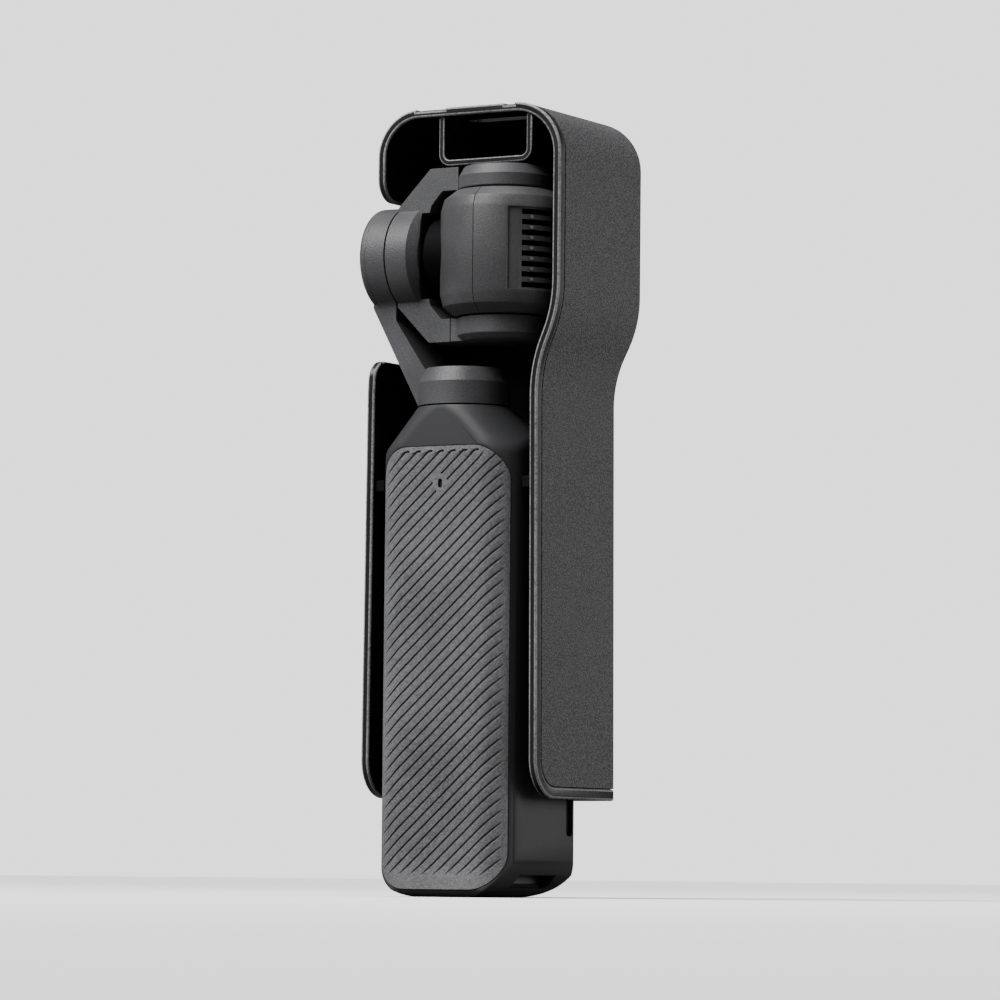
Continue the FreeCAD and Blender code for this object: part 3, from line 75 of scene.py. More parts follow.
# Smooth border of the ribbed field on the right and at the foot, as shares of the plate's margin
RIGHT_BORDER = 0.45
FOOT_BORDER = 2

# Hook at the upper end of a groove: how far each step has turned, in degrees, and its share of the depth
HOOK_STEP = 0.24 * MM
HOOK_TURNS = ((12, 1), (26, 1), (40, 0.9), (42, 0.7), (44, 0))

# Section of a groove: how far its cutter stands over the plate, its lid, and the slant of its corners
CUTTER_OVER = 0.03 * MM
CUTTER_LID = 0.12 * MM
GROOVE_FLARE = 0.08 * MM
GROOVE_SHOULDER = 0.05 * MM
GROOVE_DRAFT = 0.04 * MM
SLOPE_DRAFT = 0.03 * MM
SLOPE_OVER = 0.06 * MM

# Angles in degrees past which an edge stays sharp or is rounded
SHARP = 32.0
COVER_SHARP = 50.0
PLATE_SHARP = 18.0

# Clean-up of a node's triangles: distance that counts as one point, and angle that counts as flat
SAME_POINT = 1e-7
FLAT_ANGLE = math.radians(0.4)

# The lip runs along the cover's front edge and around the ends and cut-outs of its side walls; its rounded
# edges take the lip finish, a painted highlight
LIP_FRONT = 0.5 * MM
LIP_REACH = 34 * MM
FACING = 0.9
ALONG_WALL = 0.8
ACROSS_WALL = 0.15

# Most values of a noise texture lie between these two
NOISE_LOW = 0.3
NOISE_HIGH = 0.7

# Width of the slow drift of a colour, in grains, and the share of the change that the speckle has
DRIFT_WIDTH = 40
SPECKLE_SHARE = 0.55

# Floor as the camera sees it and as the light meets it
FLOOR_SEEN = 0.93
FLOOR_BOUNCE = 0.10
FLOOR_RADIUS = 6.0

# Place, target and size of the two lamps in metres, width of the wide lights, and rise of the top one
SIDE_LAMP = (0.66, 0.40, 0.16), (0.0, 0.01, 0.08), 0.6
NEAR_LAMP = (-0.17, -0.34, 0.54), (0.0, 0.0, 0.13), 0.35
SUN_WIDTH = math.radians(40)
TOP_RISE = math.radians(88)


def colour(name, description, value):
    """Colour setting."""
    return FloatVectorProperty(name=name, description=description, subtype="COLOR", size=3, min=0, max=1,
                               default=value)


def length(name, description, value):
    """Length setting, with its default in millimetres."""
    return FloatProperty(name=name, description=description, unit="LENGTH", precision=5, default=value * MM)


def angle(name, description, value):
    """Angle setting, with its default in degrees."""
    return FloatProperty(name=name, description=description, subtype="ANGLE", default=math.radians(value))


def amount(name, description, value):
    """Plain number, such as the strength of a light."""
    return FloatProperty(name=name, description=description, default=value)


class FinishSettings(bpy.types.PropertyGroup):
    """Colours and grain of the finishes."""

    handle: colour("Handle", "Satin moulding of the handle", (0.027, 0.027, 0.029))
    grip: colour("Grip plate", "Ribbed plate behind the handle", (0.125, 0.125, 0.130))
    gimbal: colour("Gimbal", "Coat of the arms and motor caps", (0.058, 0.058, 0.061))
    camera: colour("Camera", "Coat of the camera barrel", (0.050, 0.050, 0.052))
    rim: colour("Cover rim", "Bare moulding of the cover", (0.012, 0.012, 0.0125))
    # The cover lip colour is a painted highlight, not worn grain: a light tone on the rounded lips where
    # the lamps would leave a shine
    lip: colour("Cover lip", "Worn grain on the rounded lips of the moulding", (0.19, 0.19, 0.19))
    skin: colour("Cover skin", "Grained skin of the cover", (0.100, 0.100, 0.103))
    grain: length("Coat grain", "Size of the fine grain on coated metal", 0.22)
    skin_grain: length("Skin grain", "Size of the pebbles on the cover's skin", 0.32)


class ShapeSettings(bpy.types.PropertyGroup):
    """Sizes that the dressed pieces add to the frame."""

    casting_round: length("Casting round", "Rounded edge of the gimbal castings", 0.28)
    shell_round: length("Shell round", "Rounded edge of the plastic shells", 0.22)
    rim_round: length("Rim round", "Rounded lip of the cover", 0.42)
    rib_pitch: length("Rib pitch", "Distance between ribs along the plate's width", 2.54)
    rib_angle: angle("Rib angle", "Slant of the ribs above the level", 42)
    groove_width: length("Groove width", "Width of the dark groove between two ribs", 0.40)
    groove_depth: length("Groove depth", "Depth of the groove below the plate's face", 0.50)
    rib_fall: length("Rib fall", "How far a rib drops towards the groove on its lower right", 0.14)
    rib_slope: length("Rib slope", "Width of the sloping side of a rib", 1.35)
    plate_wall: length("Plate wall", "Thickness of the grip plate", 1.2)
    plate_margin: length("Plate margin", "Smooth border between the ribs and the plate's outline", 1.15)


class StageSettings(bpy.types.PropertyGroup):
    """Camera and light."""

    distance: length("Distance", "From the camera to the pan axis", 972)
    azimuth: angle("Azimuth", "Turn of the view to the right", 30)
    height: length("Height", "Height of the camera", 3.9)
    aside: angle("Aside", "How far right of the axis the camera looks", 0.41253)
    pitch: angle("Pitch", "Upward look of the camera", 4.24)
    lean: angle("Lean", "Roll of the camera", -0.55)
    lens: amount("Lens", "Focal length in millimetres", 183.1)
    key: amount("Key light", "Strength of the wide light on the grip side", 3.9)
    key_azimuth: angle("Key side", "Turn of the key light to the left", 26)
    key_height: angle("Key height", "Rise of the key light", 46)
    near: amount("Near light", "Power of the light close to the head", 3.0)
    side: amount("Side light", "Power of the light on the card side", 4.6)
    top: amount("Top light", "Strength of the light above", 2.2)
    room: amount("Room light", "Light that the surroundings shed", 0.11)
    backdrop: amount("Backdrop", "Brightness of the surroundings behind the object", 1.92)


SETTINGS = {
    "gimbalcam_finish": FinishSettings,
    "gimbalcam_shape": ShapeSettings,
    "gimbalcam_stage": StageSettings,
}


@functools.cache
def box(node):
    """Lowest and highest corners of a node at rest."""
    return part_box(node)


def settings(name):
    """Settings of the finishes, the shapes or the stage."""
    return getattr(bpy.context.scene, "gimbalcam_" + name)


def link(tree, source, socket, target, name):
    """Joins a node's output to another's input."""
    tree.links.new(source.outputs[socket], target.inputs[name])


def finish(name, base, roughness, metallic=0.0, coat=0.0, specular=0.3):
    """Bare material whose constants sit on the shader's own sockets."""
    material = bpy.data.materials.new(name)
    material.use_nodes = True
    shader = material.node_tree.nodes["Principled BSDF"]
    shader.inputs["Base Color"].default_value = (*base, 1.0)
    shader.inputs["Roughness"].default_value = roughness
    shader.inputs["Metallic"].default_value = metallic
    shader.inputs["Coat Weight"].default_value = coat
    shader.inputs["Specular IOR Level"].default_value = specular
    return material


def noise(tree, size, detail):
    """Noise on object coordinates whose features are about size metres across."""
    place = tree.nodes.new("ShaderNodeTexCoord")
    texture = tree.nodes.new("ShaderNodeTexNoise")
    texture.inputs["Scale"].default_value = 1 / size
    texture.inputs["Detail"].default_value = detail
    link(tree, place, "Object", texture, "Vector")
    return texture


def add_grain(material, size, depth, detail=3.0):
    """Fine relief, which catches the light as the bead-blasted or moulded grain does."""
    tree = material.node_tree
    add_bump(tree, (noise(tree, size, detail), "Fac"), depth)


def add_bump(tree, relief, depth, invert=False):
    """Tilts the surface as a relief of this depth would."""
    bump = tree.nodes.new("ShaderNodeBump")
    bump.invert = invert
    bump.inputs["Strength"].default_value = 1.0
    bump.inputs["Distance"].default_value = depth
    link(tree, *relief, bump, "Height")
    link(tree, bump, "Normal", tree.nodes["Principled BSDF"], "Normal")


def add_mottle(material, base, size, spread):
    """Slow light and dark drift of the colour, with a fine speckle on top."""
    tree = material.node_tree
    wide = noise(tree, size * DRIFT_WIDTH, 2.0)
    fine = noise(tree, size, 1.0)
    blend = tree.nodes.new("ShaderNodeMath")
    blend.operation = "MULTIPLY_ADD"
    blend.inputs[1].default_value = SPECKLE_SHARE
    link(tree, fine, "Fac", blend, 0)
    drift = tree.nodes.new("ShaderNodeMath")
    drift.operation = "MULTIPLY"
    drift.inputs[1].default_value = 1 - SPECKLE_SHARE
    link(tree, wide, "Fac", drift, 0)
    link(tree, drift, 0, blend, 2)
    add_ramp(tree, (blend, 0), base, (NOISE_LOW, 1 - spread), (NOISE_HIGH, 1 + spread))


def add_ramp(tree, driver, base, first, last):
    """Colours the surface by a driver, from one share of the base colour at its position to another."""
    ramp = tree.nodes.new("ShaderNodeValToRGB")
    for stop, (position, share) in zip(ramp.color_ramp.elements, (first, last)):
        stop.position = position
        stop.color = (*[min(channel * share, 1) for channel in base], 1.0)
    link(tree, *driver, ramp, "Fac")
    link(tree, ramp, "Color", tree.nodes["Principled BSDF"], "Base Color")


def add_sheen_wear(material, size, low, high):
    """Roughness that drifts between two values, as handling leaves it."""
    tree = material.node_tree
    texture = noise(tree, size, 3.0)
    spread = tree.nodes.new("ShaderNodeMapRange")
    spread.inputs["From Min"].default_value = NOISE_LOW
    spread.inputs["From Max"].default_value = NOISE_HIGH
    spread.inputs["To Min"].default_value = low
    spread.inputs["To Max"].default_value = high
    link(tree, texture, "Fac", spread, "Value")
    link(tree, spread, "Result", tree.nodes["Principled BSDF"], "Roughness")


def coated(name, base, grain, roughness=0.42, specular=0.3):
    """Fine bead-blasted coat on metal."""
    relief = 0.32
    spread = 0.32
    material = finish(name, base, roughness, specular=specular)
    add_grain(material, grain, grain * relief)
    add_mottle(material, base, grain, spread)
    add_sheen_wear(material, 9 * MM, roughness - 0.04, roughness + 0.05)
    return material


def moulded(name, base, grain, roughness, depth=0.06, spread=0.06):
    """Moulded plastic or rubber with its own grain."""
    material = finish(name, base, roughness)
    add_grain(material, grain, grain * depth)
    add_mottle(material, base, grain * 2, spread)
    add_sheen_wear(material, 14 * MM, roughness - 0.03, roughness + 0.05)
    return material


def pebbled(name, base, grain):
    """Skin of the cover: rounded pebbles, with a painted highlight on their tops and painted shade in the
    creases between them.
    """
    material = finish(name, base, 0.6, specular=0.2)
    tree = material.node_tree
    place = tree.nodes.new("ShaderNodeTexCoord")
    cells = tree.nodes.new("ShaderNodeTexVoronoi")
    cells.feature = "F1"
    cells.inputs["Scale"].default_value = 1 / grain
    link(tree, place, "Object", cells, "Vector")
    height = 0.45 * grain
    painted_pebble_highlight = (0.15, 1.5)
    painted_crease_shade = (0.60, 0.5)
    add_bump(tree, (cells, "Distance"), height, invert=True)
    # The colour follows the relief: the lighter pebble tops are painted highlight, the darker creases
    # painted shade
    add_ramp(tree, (cells, "Distance"), base, painted_pebble_highlight, painted_crease_shade)
    add_sheen_wear(material, 18 * MM, 0.52, 0.62)
    return material


def brushed(name, base, roughness=0.3):
    """Bare metal with a fine brushed grain."""
    material = finish(name, base, roughness, metallic=1.0)
    add_grain(material, 0.12 * MM, 0.004 * MM, 4.0)
    add_sheen_wear(material, 2 * MM, roughness - 0.06, roughness + 0.08)
    return material


def polished(name, base, roughness, coat=0.0):
    """Smooth cap, window or glass with faint marks of use."""
    material = finish(name, base, roughness, coat=coat)
    add_sheen_wear(material, 12 * MM, roughness * 0.7, roughness * 1.4)
    return material


def make_finishes():
    """Every finish of the object, by the record's material slot, and the painted highlight on the lip of
    the cover's moulding.
    """
    look = settings("finish")
    return {
        "handle_body": moulded("handle moulding", tuple(look.handle), 0.30 * MM, 0.52),
        "grip_rubber": moulded("ribbed grip", tuple(look.grip), 0.24 * MM, 0.55, 0.42, 0.45),
        "mesh_metal": finish("microphone mesh", (0.004, 0.004, 0.004), 0.6),
        "light_window": polished("light window", (0.55, 0.57, 0.57), 0.35),
        "steel": brushed("turned steel", (0.26, 0.26, 0.27), 0.42),
        "black_plastic": coated("black moulding", (0.004, 0.004, 0.0045), 0.2 * MM, 0.6, 0.05),
        "board": polished("solder mask", (0.015, 0.07, 0.04), 0.35),
        "battery_wrap": moulded("battery wrap", (0.03, 0.03, 0.034), 0.3 * MM, 0.4),
        "button": polished("button cap", (0.028, 0.028, 0.030), 0.3),
        "record_red": polished("record mark", (0.45, 0.015, 0.015), 0.35),
        "screen_frame": moulded("screen frame", (0.030, 0.030, 0.032), 0.2 * MM, 0.38),
        "screen_glass": polished("screen glass", (0.004, 0.004, 0.005), 0.06, 0.6),
        "copper": brushed("copper windings", (0.62, 0.28, 0.13)),
        "gimbal_metal": coated("gimbal coat", tuple(look.gimbal), look.grain),
        "camera_body": coated("camera coat", tuple(look.camera), look.grain, 0.44),
        "lens_trim": coated("lens trim", (0.002, 0.002, 0.0025), 0.15 * MM, 0.6, 0.04),
        "lens_glass": polished("lens coating", (0.010, 0.014, 0.030), 0.04, 1.0),
        "sink_metal": brushed("heat sink", (0.35, 0.35, 0.36), 0.45),
        "cover_rim": moulded("cover moulding", tuple(look.rim), 0.22 * MM, 0.28, 0.10),
        # Light lip finish: painted highlight on the cover's rounded lips
        "cover_lip_painted_highlight": moulded("cover lip", tuple(look.lip), 0.24 * MM, 0.5, 0.30, 0.65),
        "cover_grain": pebbled("cover skin", tuple(look.skin), look.skin_grain),
        "pad_rubber": moulded("pad rubber", (0.006, 0.006, 0.006), 0.4 * MM, 0.85),
    }


FINISHES = {}


def body_of_node(node):
    """Moving body that a node belongs to."""
    for body, members in frame["record"]["behaviour"]["bodies"].items():
        if node in members:
            return body
    raise ValueError("no body holds " + node)


def slot_of_node(node):
    """Material slot that the record gives a node."""
    for entry in frame["record"]["subparts"]:
        if entry["node"] == node:
            return entry["material_slot"]
    raise ValueError("no slot for " + node)


def place(mesh, name, node, slot=None):
    """Links a finished mesh as the piece that stands for a node."""
    piece = bpy.data.objects.new(name, mesh)
    bpy.context.scene.collection.objects.link(piece)
    own_slot = slot or slot_of_node(node)
    mesh.materials.clear()
    mesh.materials.append(FINISHES[own_slot])
    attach(piece, body_of_node(node))
    return piece


def mesh_from(bm, name, sharp=SHARP):
    """Mesh with smooth faces and sharp edges past an angle in degrees."""
    mesh = bpy.data.meshes.new(name)
    bm.to_mesh(mesh)
    bm.free()
    mesh.shade_smooth()
    mesh.set_sharp_from_angle(angle=math.radians(sharp))
    return mesh


def weigh_lip(bm):
    """Weights the outward edges around the cover's openings, so that only they are rounded and take the
    lip's painted highlight.
    """
    layer = bm.edges.layers.float.new("bevel_weight_edge")
    front = min(corner.co.y for corner in bm.verts)
    bm.normal_update()
    for edge in bm.edges:
        if not edge.is_convex or edge.calc_face_angle(0) < math.radians(COVER_SHARP):
            continue
        level = max(corner.co.y for corner in edge.verts) - front
        at_front = level < LIP_FRONT and min(face.normal.y for face in edge.link_faces) < -FACING
        end, wall = sorted(abs(face.normal.x) for face in edge.link_faces)
        around_wall = level < LIP_REACH and end < ACROSS_WALL and wall > ALONG_WALL
        if at_front or around_wall:
            edge[layer] = 1


def add_bevel(piece, width, segments, sharp, lip):
    """Rounds the sharp edges, or only the weighted ones where the lip has a finish of its own, a painted
    highlight.
    """
    bevel = piece.modifiers.new("rounded edges", "BEVEL")
    bevel.width = width
    bevel.segments = segments
    bevel.limit_method = "ANGLE"
    bevel.angle_limit = math.radians(sharp)
    bevel.use_clamp_overlap = True
    bevel.harden_normals = True
    # The weighted edges take the lip finish, a painted highlight
    if lip:
        piece.data.materials.append(FINISHES[lip])
        bevel.material = 1
        bevel.limit_method = "WEIGHT"
        bevel.use_clamp_overlap = False


def dressed(node, name, width, segments=2, sharp=SHARP, slot=None, lip=None):
    """Merged copy of a node's form with rounded, light-catching edges, shown in its place."""
    bm = bmesh.new()
    bm.from_mesh(frame["nodes"][node].data)
    bmesh.ops.remove_doubles(bm, verts=bm.verts, dist=SAME_POINT)
    bmesh.ops.dissolve_limit(bm, angle_limit=FLAT_ANGLE, verts=bm.verts, edges=bm.edges)
    if lip:
        weigh_lip(bm)
    piece = place(mesh_from(bm, name, sharp), name, node, slot)
    add_bevel(piece, width, segments, sharp, lip)
    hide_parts(node)
    return piece


class GIMBALCAM_OT_stage(bpy.types.Operator):
    """Set the floor, the lights and the camera"""

    bl_idname = "gimbalcam.stage"
    bl_label = "Stage"

    def execute(self, context):
        stage = settings("stage")
        add_floor()
        add_room(stage.room, stage.backdrop)
        add_sun("key", stage.key_azimuth, stage.key_height, stage.key)
        add_sun("top", 0, TOP_RISE, stage.top)
        add_light("side", *SIDE_LAMP, stage.side)
        add_light("near", *NEAR_LAMP, stage.near)
        add_camera(stage)
        return {"FINISHED"}


def add_floor():
    """Pale floor that throws little light back up, so the underside of the cover stays dark."""
    bm = bmesh.new()
    bmesh.ops.create_circle(bm, cap_ends=True, segments=96, radius=FLOOR_RADIUS)
    mesh = mesh_from(bm, "floor")
    floor = bpy.data.objects.new("floor", mesh)
    bpy.context.scene.collection.objects.link(floor)
    paper = finish("studio paper", (FLOOR_SEEN, FLOOR_SEEN, FLOOR_SEEN), 0.9)
    tree = paper.node_tree
    shade = seen_or_shed(tree, FLOOR_SEEN, FLOOR_BOUNCE)
    link(tree, shade, "Result", tree.nodes["Principled BSDF"], "Base Color")
    mesh.materials.append(paper)


def seen_or_shed(tree, seen, shed):
    """Value that is one thing to the camera and another to the light that meets the object."""
    rays = tree.nodes.new("ShaderNodeLightPath")
    choice = tree.nodes.new("ShaderNodeMapRange")
    choice.inputs["To Min"].default_value = shed
    choice.inputs["To Max"].default_value = seen
    link(tree, rays, "Is Camera Ray", choice, "Value")
    return choice


def add_room(light, backdrop):
    """White surroundings, brighter to look at than the light they shed, as a lit backdrop is."""
    world = bpy.data.worlds.new("white room")
    world.use_nodes = True
    bpy.context.scene.world = world
    tree = world.node_tree
    background = tree.nodes["Background"]
    background.inputs["Color"].default_value = (1.0, 1.0, 1.0, 1.0)
    strength = seen_or_shed(tree, backdrop, light)
    link(tree, strength, "Result", background, "Strength")


def add_light(name, position, target, size, power):
    """Round soft lamp that shines from a place at a target."""
    light = bpy.data.lights.new(name, "AREA")
    light.shape = "DISK"
    light.size = size
    light.energy = power
    lamp = bpy.data.objects.new(name, light)
    lamp.location = position
    direction = Vector(target) - Vector(position)
    lamp.rotation_euler = direction.to_track_quat("-Z", "Y").to_euler()
    bpy.context.scene.collection.objects.link(lamp)


def add_sun(name, azimuth, rise, strength):
    """Wide soft light from far off, which lights the floor evenly."""
    light = bpy.data.lights.new(name, "SUN")
    light.angle = SUN_WIDTH
    light.energy = strength
    lamp = bpy.data.objects.new(name, light)
    level = Vector((-math.sin(azimuth), -math.cos(azimuth), 0))
    towards = level * math.cos(rise) + Vector((0, 0, math.sin(rise)))
    lamp.rotation_euler = towards.to_track_quat("Z", "Y").to_euler()
    lamp.location = towards
    bpy.context.scene.collection.objects.link(lamp)


def add_camera(stage):
    """Camera fitted to the photograph's view of the upright edges and the base."""
    into = Vector((-math.sin(stage.azimuth), math.cos(stage.azimuth), 0))
    right = Vector((math.cos(stage.azimuth), math.sin(stage.azimuth), 0))
    up = Vector((0, 0, 1))
    eye = Vector((0, 0, stage.height)) - into * stage.distance
    ahead = into * math.cos(stage.aside) + right * math.sin(stage.aside)
    level = right * math.cos(stage.aside) - into * math.sin(stage.aside)
    look = ahead * math.cos(stage.pitch) + up * math.sin(stage.pitch)
    above = up * math.cos(stage.pitch) - ahead * math.sin(stage.pitch)
    side = level * math.cos(stage.lean) - above * math.sin(stage.lean)
    crown = above * math.cos(stage.lean) + level * math.sin(stage.lean)
    data = bpy.data.cameras.new("view")
    data.sensor_width = 36.0
    data.sensor_fit = "HORIZONTAL"
    data.lens = stage.lens
    data.clip_end = 50.0
    data.dof.use_dof = False
    camera = bpy.data.objects.new("view", data)
    turn = Matrix((side, crown, -look)).transposed()
    camera.matrix_world = Matrix.Translation(eye) @ turn.to_4x4()
    bpy.context.scene.collection.objects.link(camera)
    bpy.context.scene.camera = camera


class GIMBALCAM_OT_frame(bpy.types.Operator):
    """Give every node of the frame its finish"""

    bl_idname = "gimbalcam.frame"
    bl_label = "Frame finishes"

    def execute(self, context):
        FINISHES.update(make_finishes())
        for node, piece in frame["nodes"].items():
            piece.data.materials.clear()
            piece.data.materials.append(FINISHES[slot_of_node(node)])
        return {"FINISHED"}


class GIMBALCAM_OT_castings(bpy.types.Operator):
    """Round the edges of the gimbal's arms, caps and housings"""

    bl_idname = "gimbalcam.castings"
    bl_label = "Gimbal castings"

    def execute(self, context):
        width = settings("shape").casting_round
        dressed("pan_arm", "pan_arm_casting", width)
        dressed("yoke", "yoke_casting", width)
        dressed("top_pivot_cap", "top_pivot_cover", width)
        dressed("tilt_motor_housing", "tilt_motor_cup", width)
        dressed("roll_motor_cap", "roll_motor_cover", width * 0.5)
        return {"FINISHED"}


class GIMBALCAM_OT_camera_shells(bpy.types.Operator):
    """Round the edges of the camera's two shells and the lens ring"""

    bl_idname = "gimbalcam.camera_shells"
    bl_label = "Camera shells"

    def execute(self, context):
        width = settings("shape").shell_round
        dressed("camera_front_shell", "camera_front_cover", width * 0.3)
        dressed("camera_rear_shell", "camera_rear_cover", width * 0.3)
        dressed("lens_ring", "lens_bezel", width * 0.5)
        return {"FINISHED"}


class GIMBALCAM_OT_handle(bpy.types.Operator):
    """Round the edges of the handle, the screen and the controls"""

    bl_idname = "gimbalcam.handle"
    bl_label = "Handle"

    def execute(self, context):
        width = settings("shape").shell_round
        dressed("handle_shell", "handle_casing", width * 0.4)
        dressed("screen_housing", "screen_frame", width)
        dressed("record_button", "record_cap", width * 0.5)
        dressed("joystick_cap", "joystick_top", width * 0.5)
        # The latch bars take the near-black moulding instead of their own slot: painted shade for the dark
        # gap beside the grip plate where they sit
        dressed("latch_bars", "latch_bar_pair", 0.1 * MM, slot="black_plastic")
        return {"FINISHED"}


def face_depth(x):
    """How far the plate's face lies behind its flat middle, and the way it faces, at a place across it."""
    side = box("handle_shell")[1].x
    beyond = max(abs(x) - (side - CORNER_R), 0)
    lean = math.asin(min(beyond / CORNER_R, 1))
    facing = Vector((math.copysign(math.sin(lean), x), -math.cos(lean), 0))
    return CORNER_R * (1 - math.cos(lean)), facing


def prism(outline, start, way, name):
    """Closed prism on a flat outline."""
    bm = bmesh.new()
    ring = [bm.verts.new(Vector(point) + Vector(start)) for point in outline]
    face = bm.faces.new(ring)
    swept = bmesh.ops.extrude_face_region(bm, geom=[face])
    moved = [item for item in swept["geom"] if isinstance(item, bmesh.types.BMVert)]
    bmesh.ops.translate(bm, verts=moved, vec=Vector(way))
    bmesh.ops.recalc_face_normals(bm, faces=bm.faces)
    mesh = bpy.data.meshes.new(name)
    bm.to_mesh(mesh)
    bm.free()
    piece = bpy.data.objects.new(name, mesh)
    bpy.context.scene.collection.objects.link(piece)
    return piece


def arc(centre, radius, start, end, steps):
    """Points on an arc, angles in degrees."""
    turns = [math.radians(start + (end - start) * index / steps) for index in range(steps + 1)]
    return [(centre[0] + radius * math.cos(turn), centre[1] + radius * math.sin(turn)) for turn in turns]


def carve(body, tool, operation):
    """Cut or trim a body with a tool and keep the plain result."""
    step = body.modifiers.new(operation.lower(), "BOOLEAN")
    step.operation = operation
    step.solver = "MANIFOLD"
    step.object = tool
    graph = bpy.context.evaluated_depsgraph_get()
    mesh = bpy.data.meshes.new_from_object(body.evaluated_get(graph))
    body.modifiers.clear()
    spent = body.data
    body.data = mesh
    bpy.data.meshes.remove(spent)
    worn = tool.data
    bpy.data.objects.remove(tool)
    bpy.data.meshes.remove(worn)


def plate_blank():
    """Grip plate without its ribs: a shallow channel with a rounded outline."""
    wall = settings("shape").plate_wall
    low, high = box("grip_plate")
    bend = box("handle_shell")[1].x - CORNER_R
    back = low.y + CORNER_R
    start = -90
    end = -20
    outside = arc((bend, back), CORNER_R, start, end, 18)
    inside = arc((bend, back), CORNER_R - wall, end, start, 18)
    half = outside + inside
    mirrored = [(-x, y) for x, y in reversed(half)]
    channel = [(x, y, 0) for x, y in half + mirrored]
    spare = MM
    blank = prism(channel, (0, 0, low.z - spare), (0, 0, high.z - low.z + 2 * spare), "grip_face")
    right = high.x - CORNER_R
    foot = low.z + CORNER_R
    head = high.z - CORNER_R
    outline = []
    for x, z, turn in ((right, foot, -90), (right, head, 0), (-right, head, 90), (-right, foot, 180)):
        outline += arc((x, z), CORNER_R, turn, turn + 90, 16)
    flat = [(x, 0, z) for x, z in outline]
    slab = prism(flat, (0, low.y - spare, 0), (0, high.y - low.y + 2 * spare, 0), "plate outline")
    carve(blank, slab, "INTERSECT")
    return blank


def groove_path(rise):
    """Middle line of one groove: places with the share of its full depth and of its slope's width."""
    shape = settings("shape")
    low, high = box("grip_plate")
    margin = shape.plate_margin
    slope = math.tan(shape.rib_angle)
    left = low.x + margin
    right = high.x - RIGHT_BORDER * margin
    floor = low.z + FOOT_BORDER * margin
    ceiling = high.z - margin
    start = max(left, (floor - rise) / slope)
    end = min(right, (ceiling - rise) / slope)
    count = int((end - start) / GROOVE_STEP)
    if count < GROOVE_LEAST_STEPS:
        return []
    hooked = end < high.x - CORNER_R + margin
    places = []
    for index in range(count + 1):
        x = start + (end - start) * index / count
        room = min((x - start) / GROOVE_RUN_IN, 1)
        spread = 1
        if hooked:
            spread = max(min((end - x) / GROOVE_NARROWING, 1), 0)
        else:
            room = min(room, (end - x) / GROOVE_RUN_OUT)
        places.append((x, rise + slope * x, room, spread))
    if hooked:
        places += hook(*places[-1][:2])
    return places


def hook(x, z):
    """Short bend to the level at the upper end of a groove."""
    places = []
    for turned, room in HOOK_TURNS:
        way = settings("shape").rib_angle - math.radians(turned)
        x += HOOK_STEP * math.cos(way)
        z += HOOK_STEP * math.sin(way)
        places.append((x, z, room, 0))
    return places


def groove_ring(x, z, along, room, spread):
    """Section of a groove's cutter: a sheer side, a floor and the rib's long slope."""
    shape = settings("shape")
    low = box("grip_plate")[0]
    depth, facing = face_depth(x)
    place = Vector((x, low.y + depth, z))
    across = facing.cross(along).normalized()
    if across.z > 0:
        across.negate()
    half = shape.groove_width / 2
    sheer = half + GROOVE_FLARE
    reach = half + SLOPE_OVER + (shape.rib_slope - half) * spread
    over = CUTTER_OVER
    section = [
        (sheer, over),
        (half, -GROOVE_SHOULDER),
        (half - GROOVE_DRAFT, -shape.groove_depth),
        (-half, -shape.groove_depth),
        (-half - SLOPE_DRAFT, -shape.rib_fall),
        (-reach, over),
    ]
    ring = [place + across * side + facing * (over + (rise - over) * room) for side, rise in section]
    ring.append(place - across * reach + facing * CUTTER_LID)
    ring.append(place + across * sheer + facing * CUTTER_LID)
    return ring


def groove_cutter():
    """One cutter for all the grooves, each a section carried along its line."""
    shape = settings("shape")
    low, high = box("grip_plate")
    slope = math.tan(shape.rib_angle)
    gap = shape.rib_pitch * slope
    middle = (low.z + high.z) / 2
    reach = int((high.z - low.z) / gap)
    bm = bmesh.new()
    mesh = bpy.data.meshes.new("groove cutter")
    for index in range(-reach, reach + 1):
        for part in split_at_mic(groove_path(middle + index * gap)):
            groove = sweep_section(part)
            groove.to_mesh(mesh)
            groove.free()
            bm.from_mesh(mesh)
    bm.to_mesh(mesh)
    bm.free()
    cutter = bpy.data.objects.new("groove cutter", mesh)
    bpy.context.scene.collection.objects.link(cutter)
    return cutter


def split_at_mic(places):
    """Lets a groove stop short of the microphone and go on behind it."""
    low, high = box("mic_mesh")
    centre = (low + high) / 2
    before = []
    after = []
    for place in places:
        x, z = place[:2]
        if math.hypot(x - centre.x, z - centre.z) < MIC_ISLAND:
            continue
        if x < centre.x:
            before.append(place)
        else:
            after.append(place)
    if len(before) + len(after) == len(places):
        return [places] if places else []
    return [part for part in (before, after) if len(part) >= GROOVE_LEAST_STEPS]


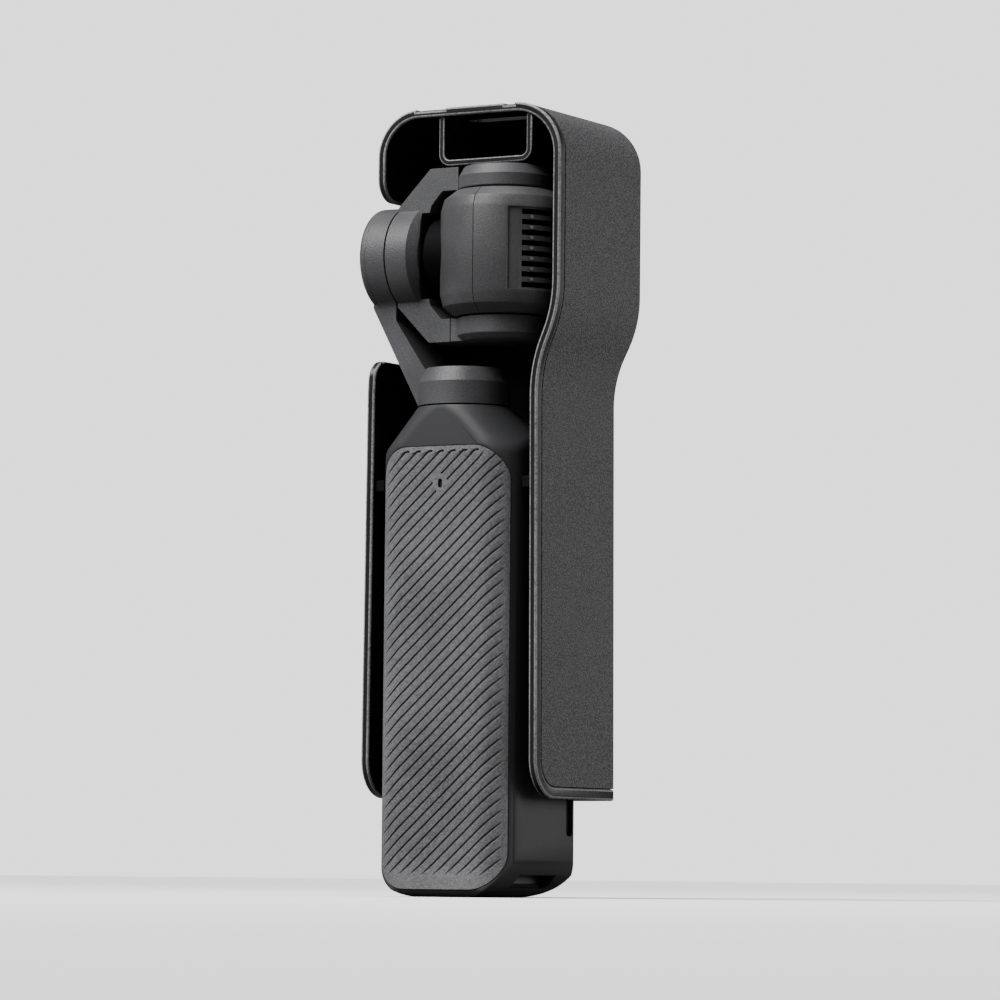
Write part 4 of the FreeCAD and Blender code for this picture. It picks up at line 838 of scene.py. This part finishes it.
def sweep_section(places):
    """Extrudes the cutter's section from place to place."""
    bm = bmesh.new()
    rings = []
    for index, (x, z, room, spread) in enumerate(places):
        x0, z0 = places[max(index - 1, 0)][:2]
        x1, z1 = places[min(index + 1, len(places) - 1)][:2]
        depth0, _ = face_depth(x0)
        depth1, _ = face_depth(x1)
        along = Vector((x1 - x0, depth1 - depth0, z1 - z0)).normalized()
        rings.append(groove_ring(x, z, along, room, spread))
    first = bm.faces.new([bm.verts.new(point) for point in rings[0]])
    face = first
    for last, ring in zip(rings, rings[1:]):
        inner = face
        swept = bmesh.ops.extrude_face_region(bm, geom=[inner])
        face = next(item for item in swept["geom"] if isinstance(item, bmesh.types.BMFace))
        for corner in face.verts:
            nearest = min(range(len(last)), key=lambda index: (last[index] - corner.co).length)
            corner.co = ring[nearest]
        if inner is not first:
            bmesh.ops.delete(bm, geom=[inner], context="FACES_ONLY")
    bmesh.ops.recalc_face_normals(bm, faces=bm.faces)
    if bm.calc_volume(signed=True) < 0:
        bmesh.ops.reverse_faces(bm, faces=bm.faces)
    return bm


def mic_drill():
    """Upright slot with round ends, through the plate in front of the microphone."""
    low, high = box("mic_mesh")
    middle = (low + high) / 2
    half = (high.x - low.x) / 2
    tall = (high.z - low.z) / 2 - half
    outline = arc((middle.x, middle.z + tall), half, 0, 180, 14)
    outline += arc((middle.x, middle.z - tall), half, 180, 360, 14)
    start = box("grip_plate")[0].y - MM
    through = 4 * MM
    return prism([(x, 0, z) for x, z in outline], (0, start, 0), (0, through, 0), "microphone hole")


class GIMBALCAM_OT_grip(bpy.types.Operator):
    """Make the grip plate with its slanting ribs and microphone hole"""

    bl_idname = "gimbalcam.grip"
    bl_label = "Grip plate"

    def execute(self, context):
        plate = plate_blank()
        carve(plate, groove_cutter(), "DIFFERENCE")
        carve(plate, mic_drill(), "DIFFERENCE")
        mesh = plate.data
        mesh.name = "grip_face"
        mesh.shade_smooth()
        mesh.set_sharp_from_angle(angle=math.radians(PLATE_SHARP))
        mesh.materials.clear()
        mesh.materials.append(FINISHES["grip_rubber"])
        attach(plate, body_of_node("grip_plate"))
        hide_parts("grip_plate")
        return {"FINISHED"}


class GIMBALCAM_OT_cover(bpy.types.Operator):
    """Round the lip of the cover and its strap tunnel, and give it a painted highlight"""

    bl_idname = "gimbalcam.cover"
    bl_label = "Protective cover"

    def execute(self, context):
        shape = settings("shape")
        # The lips of the moulding and of the strap tunnel take the painted highlight finish
        dressed("cover_shell", "cover_moulding", shape.rim_round, 4, COVER_SHARP, lip="cover_lip_painted_highlight")
        dressed("cover_skin", "cover_textured_skin", 0.12 * MM, 2, COVER_SHARP)
        dressed("strap_tunnel", "strap_tunnel_wall", 0.25 * MM, 3, lip="cover_lip_painted_highlight")
        # The clip tabs take the near-black moulding instead of their own slot: painted shade for the dark
        # gap beside the handle where they sit
        dressed("clip_tabs", "clip_tab_pair", 0.2 * MM, slot="black_plastic")
        dressed("side_pads", "side_pad_pair", 0.4 * MM)
        dressed("front_pads", "front_pad_pair", 0.4 * MM)
        return {"FINISHED"}


STEPS = [
    GIMBALCAM_OT_stage,
    GIMBALCAM_OT_frame,
    GIMBALCAM_OT_castings,
    GIMBALCAM_OT_camera_shells,
    GIMBALCAM_OT_handle,
    GIMBALCAM_OT_grip,
    GIMBALCAM_OT_cover,
]


class GIMBALCAM_PT_panel(bpy.types.Panel):
    """Sizes and finishes, and one button for each group of pieces"""

    bl_label = "Gimbal camera"
    bl_space_type = "VIEW_3D"
    bl_region_type = "UI"
    bl_category = "Gimbal camera"

    def draw(self, context):
        layout = self.layout
        for name, group in SETTINGS.items():
            panel = layout.box()
            for prop in group.__annotations__:
                panel.prop(getattr(context.scene, name), prop)
        for step in STEPS:
            layout.operator(step.bl_idname)


CLASSES = [FinishSettings, ShapeSettings, StageSettings, *STEPS, GIMBALCAM_PT_panel]


def register():
    for item in CLASSES:
        bpy.utils.register_class(item)
    for name, group in SETTINGS.items():
        setattr(bpy.types.Scene, name, PointerProperty(type=group))


def unregister():
    for name in SETTINGS:
        delattr(bpy.types.Scene, name)
    for item in reversed(CLASSES):
        bpy.utils.unregister_class(item)


def main():
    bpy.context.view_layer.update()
    register()
    for step in STEPS:
        group, action = step.bl_idname.split(".")
        getattr(getattr(bpy.ops, group), action)()


if __name__ == "__main__":
    main()
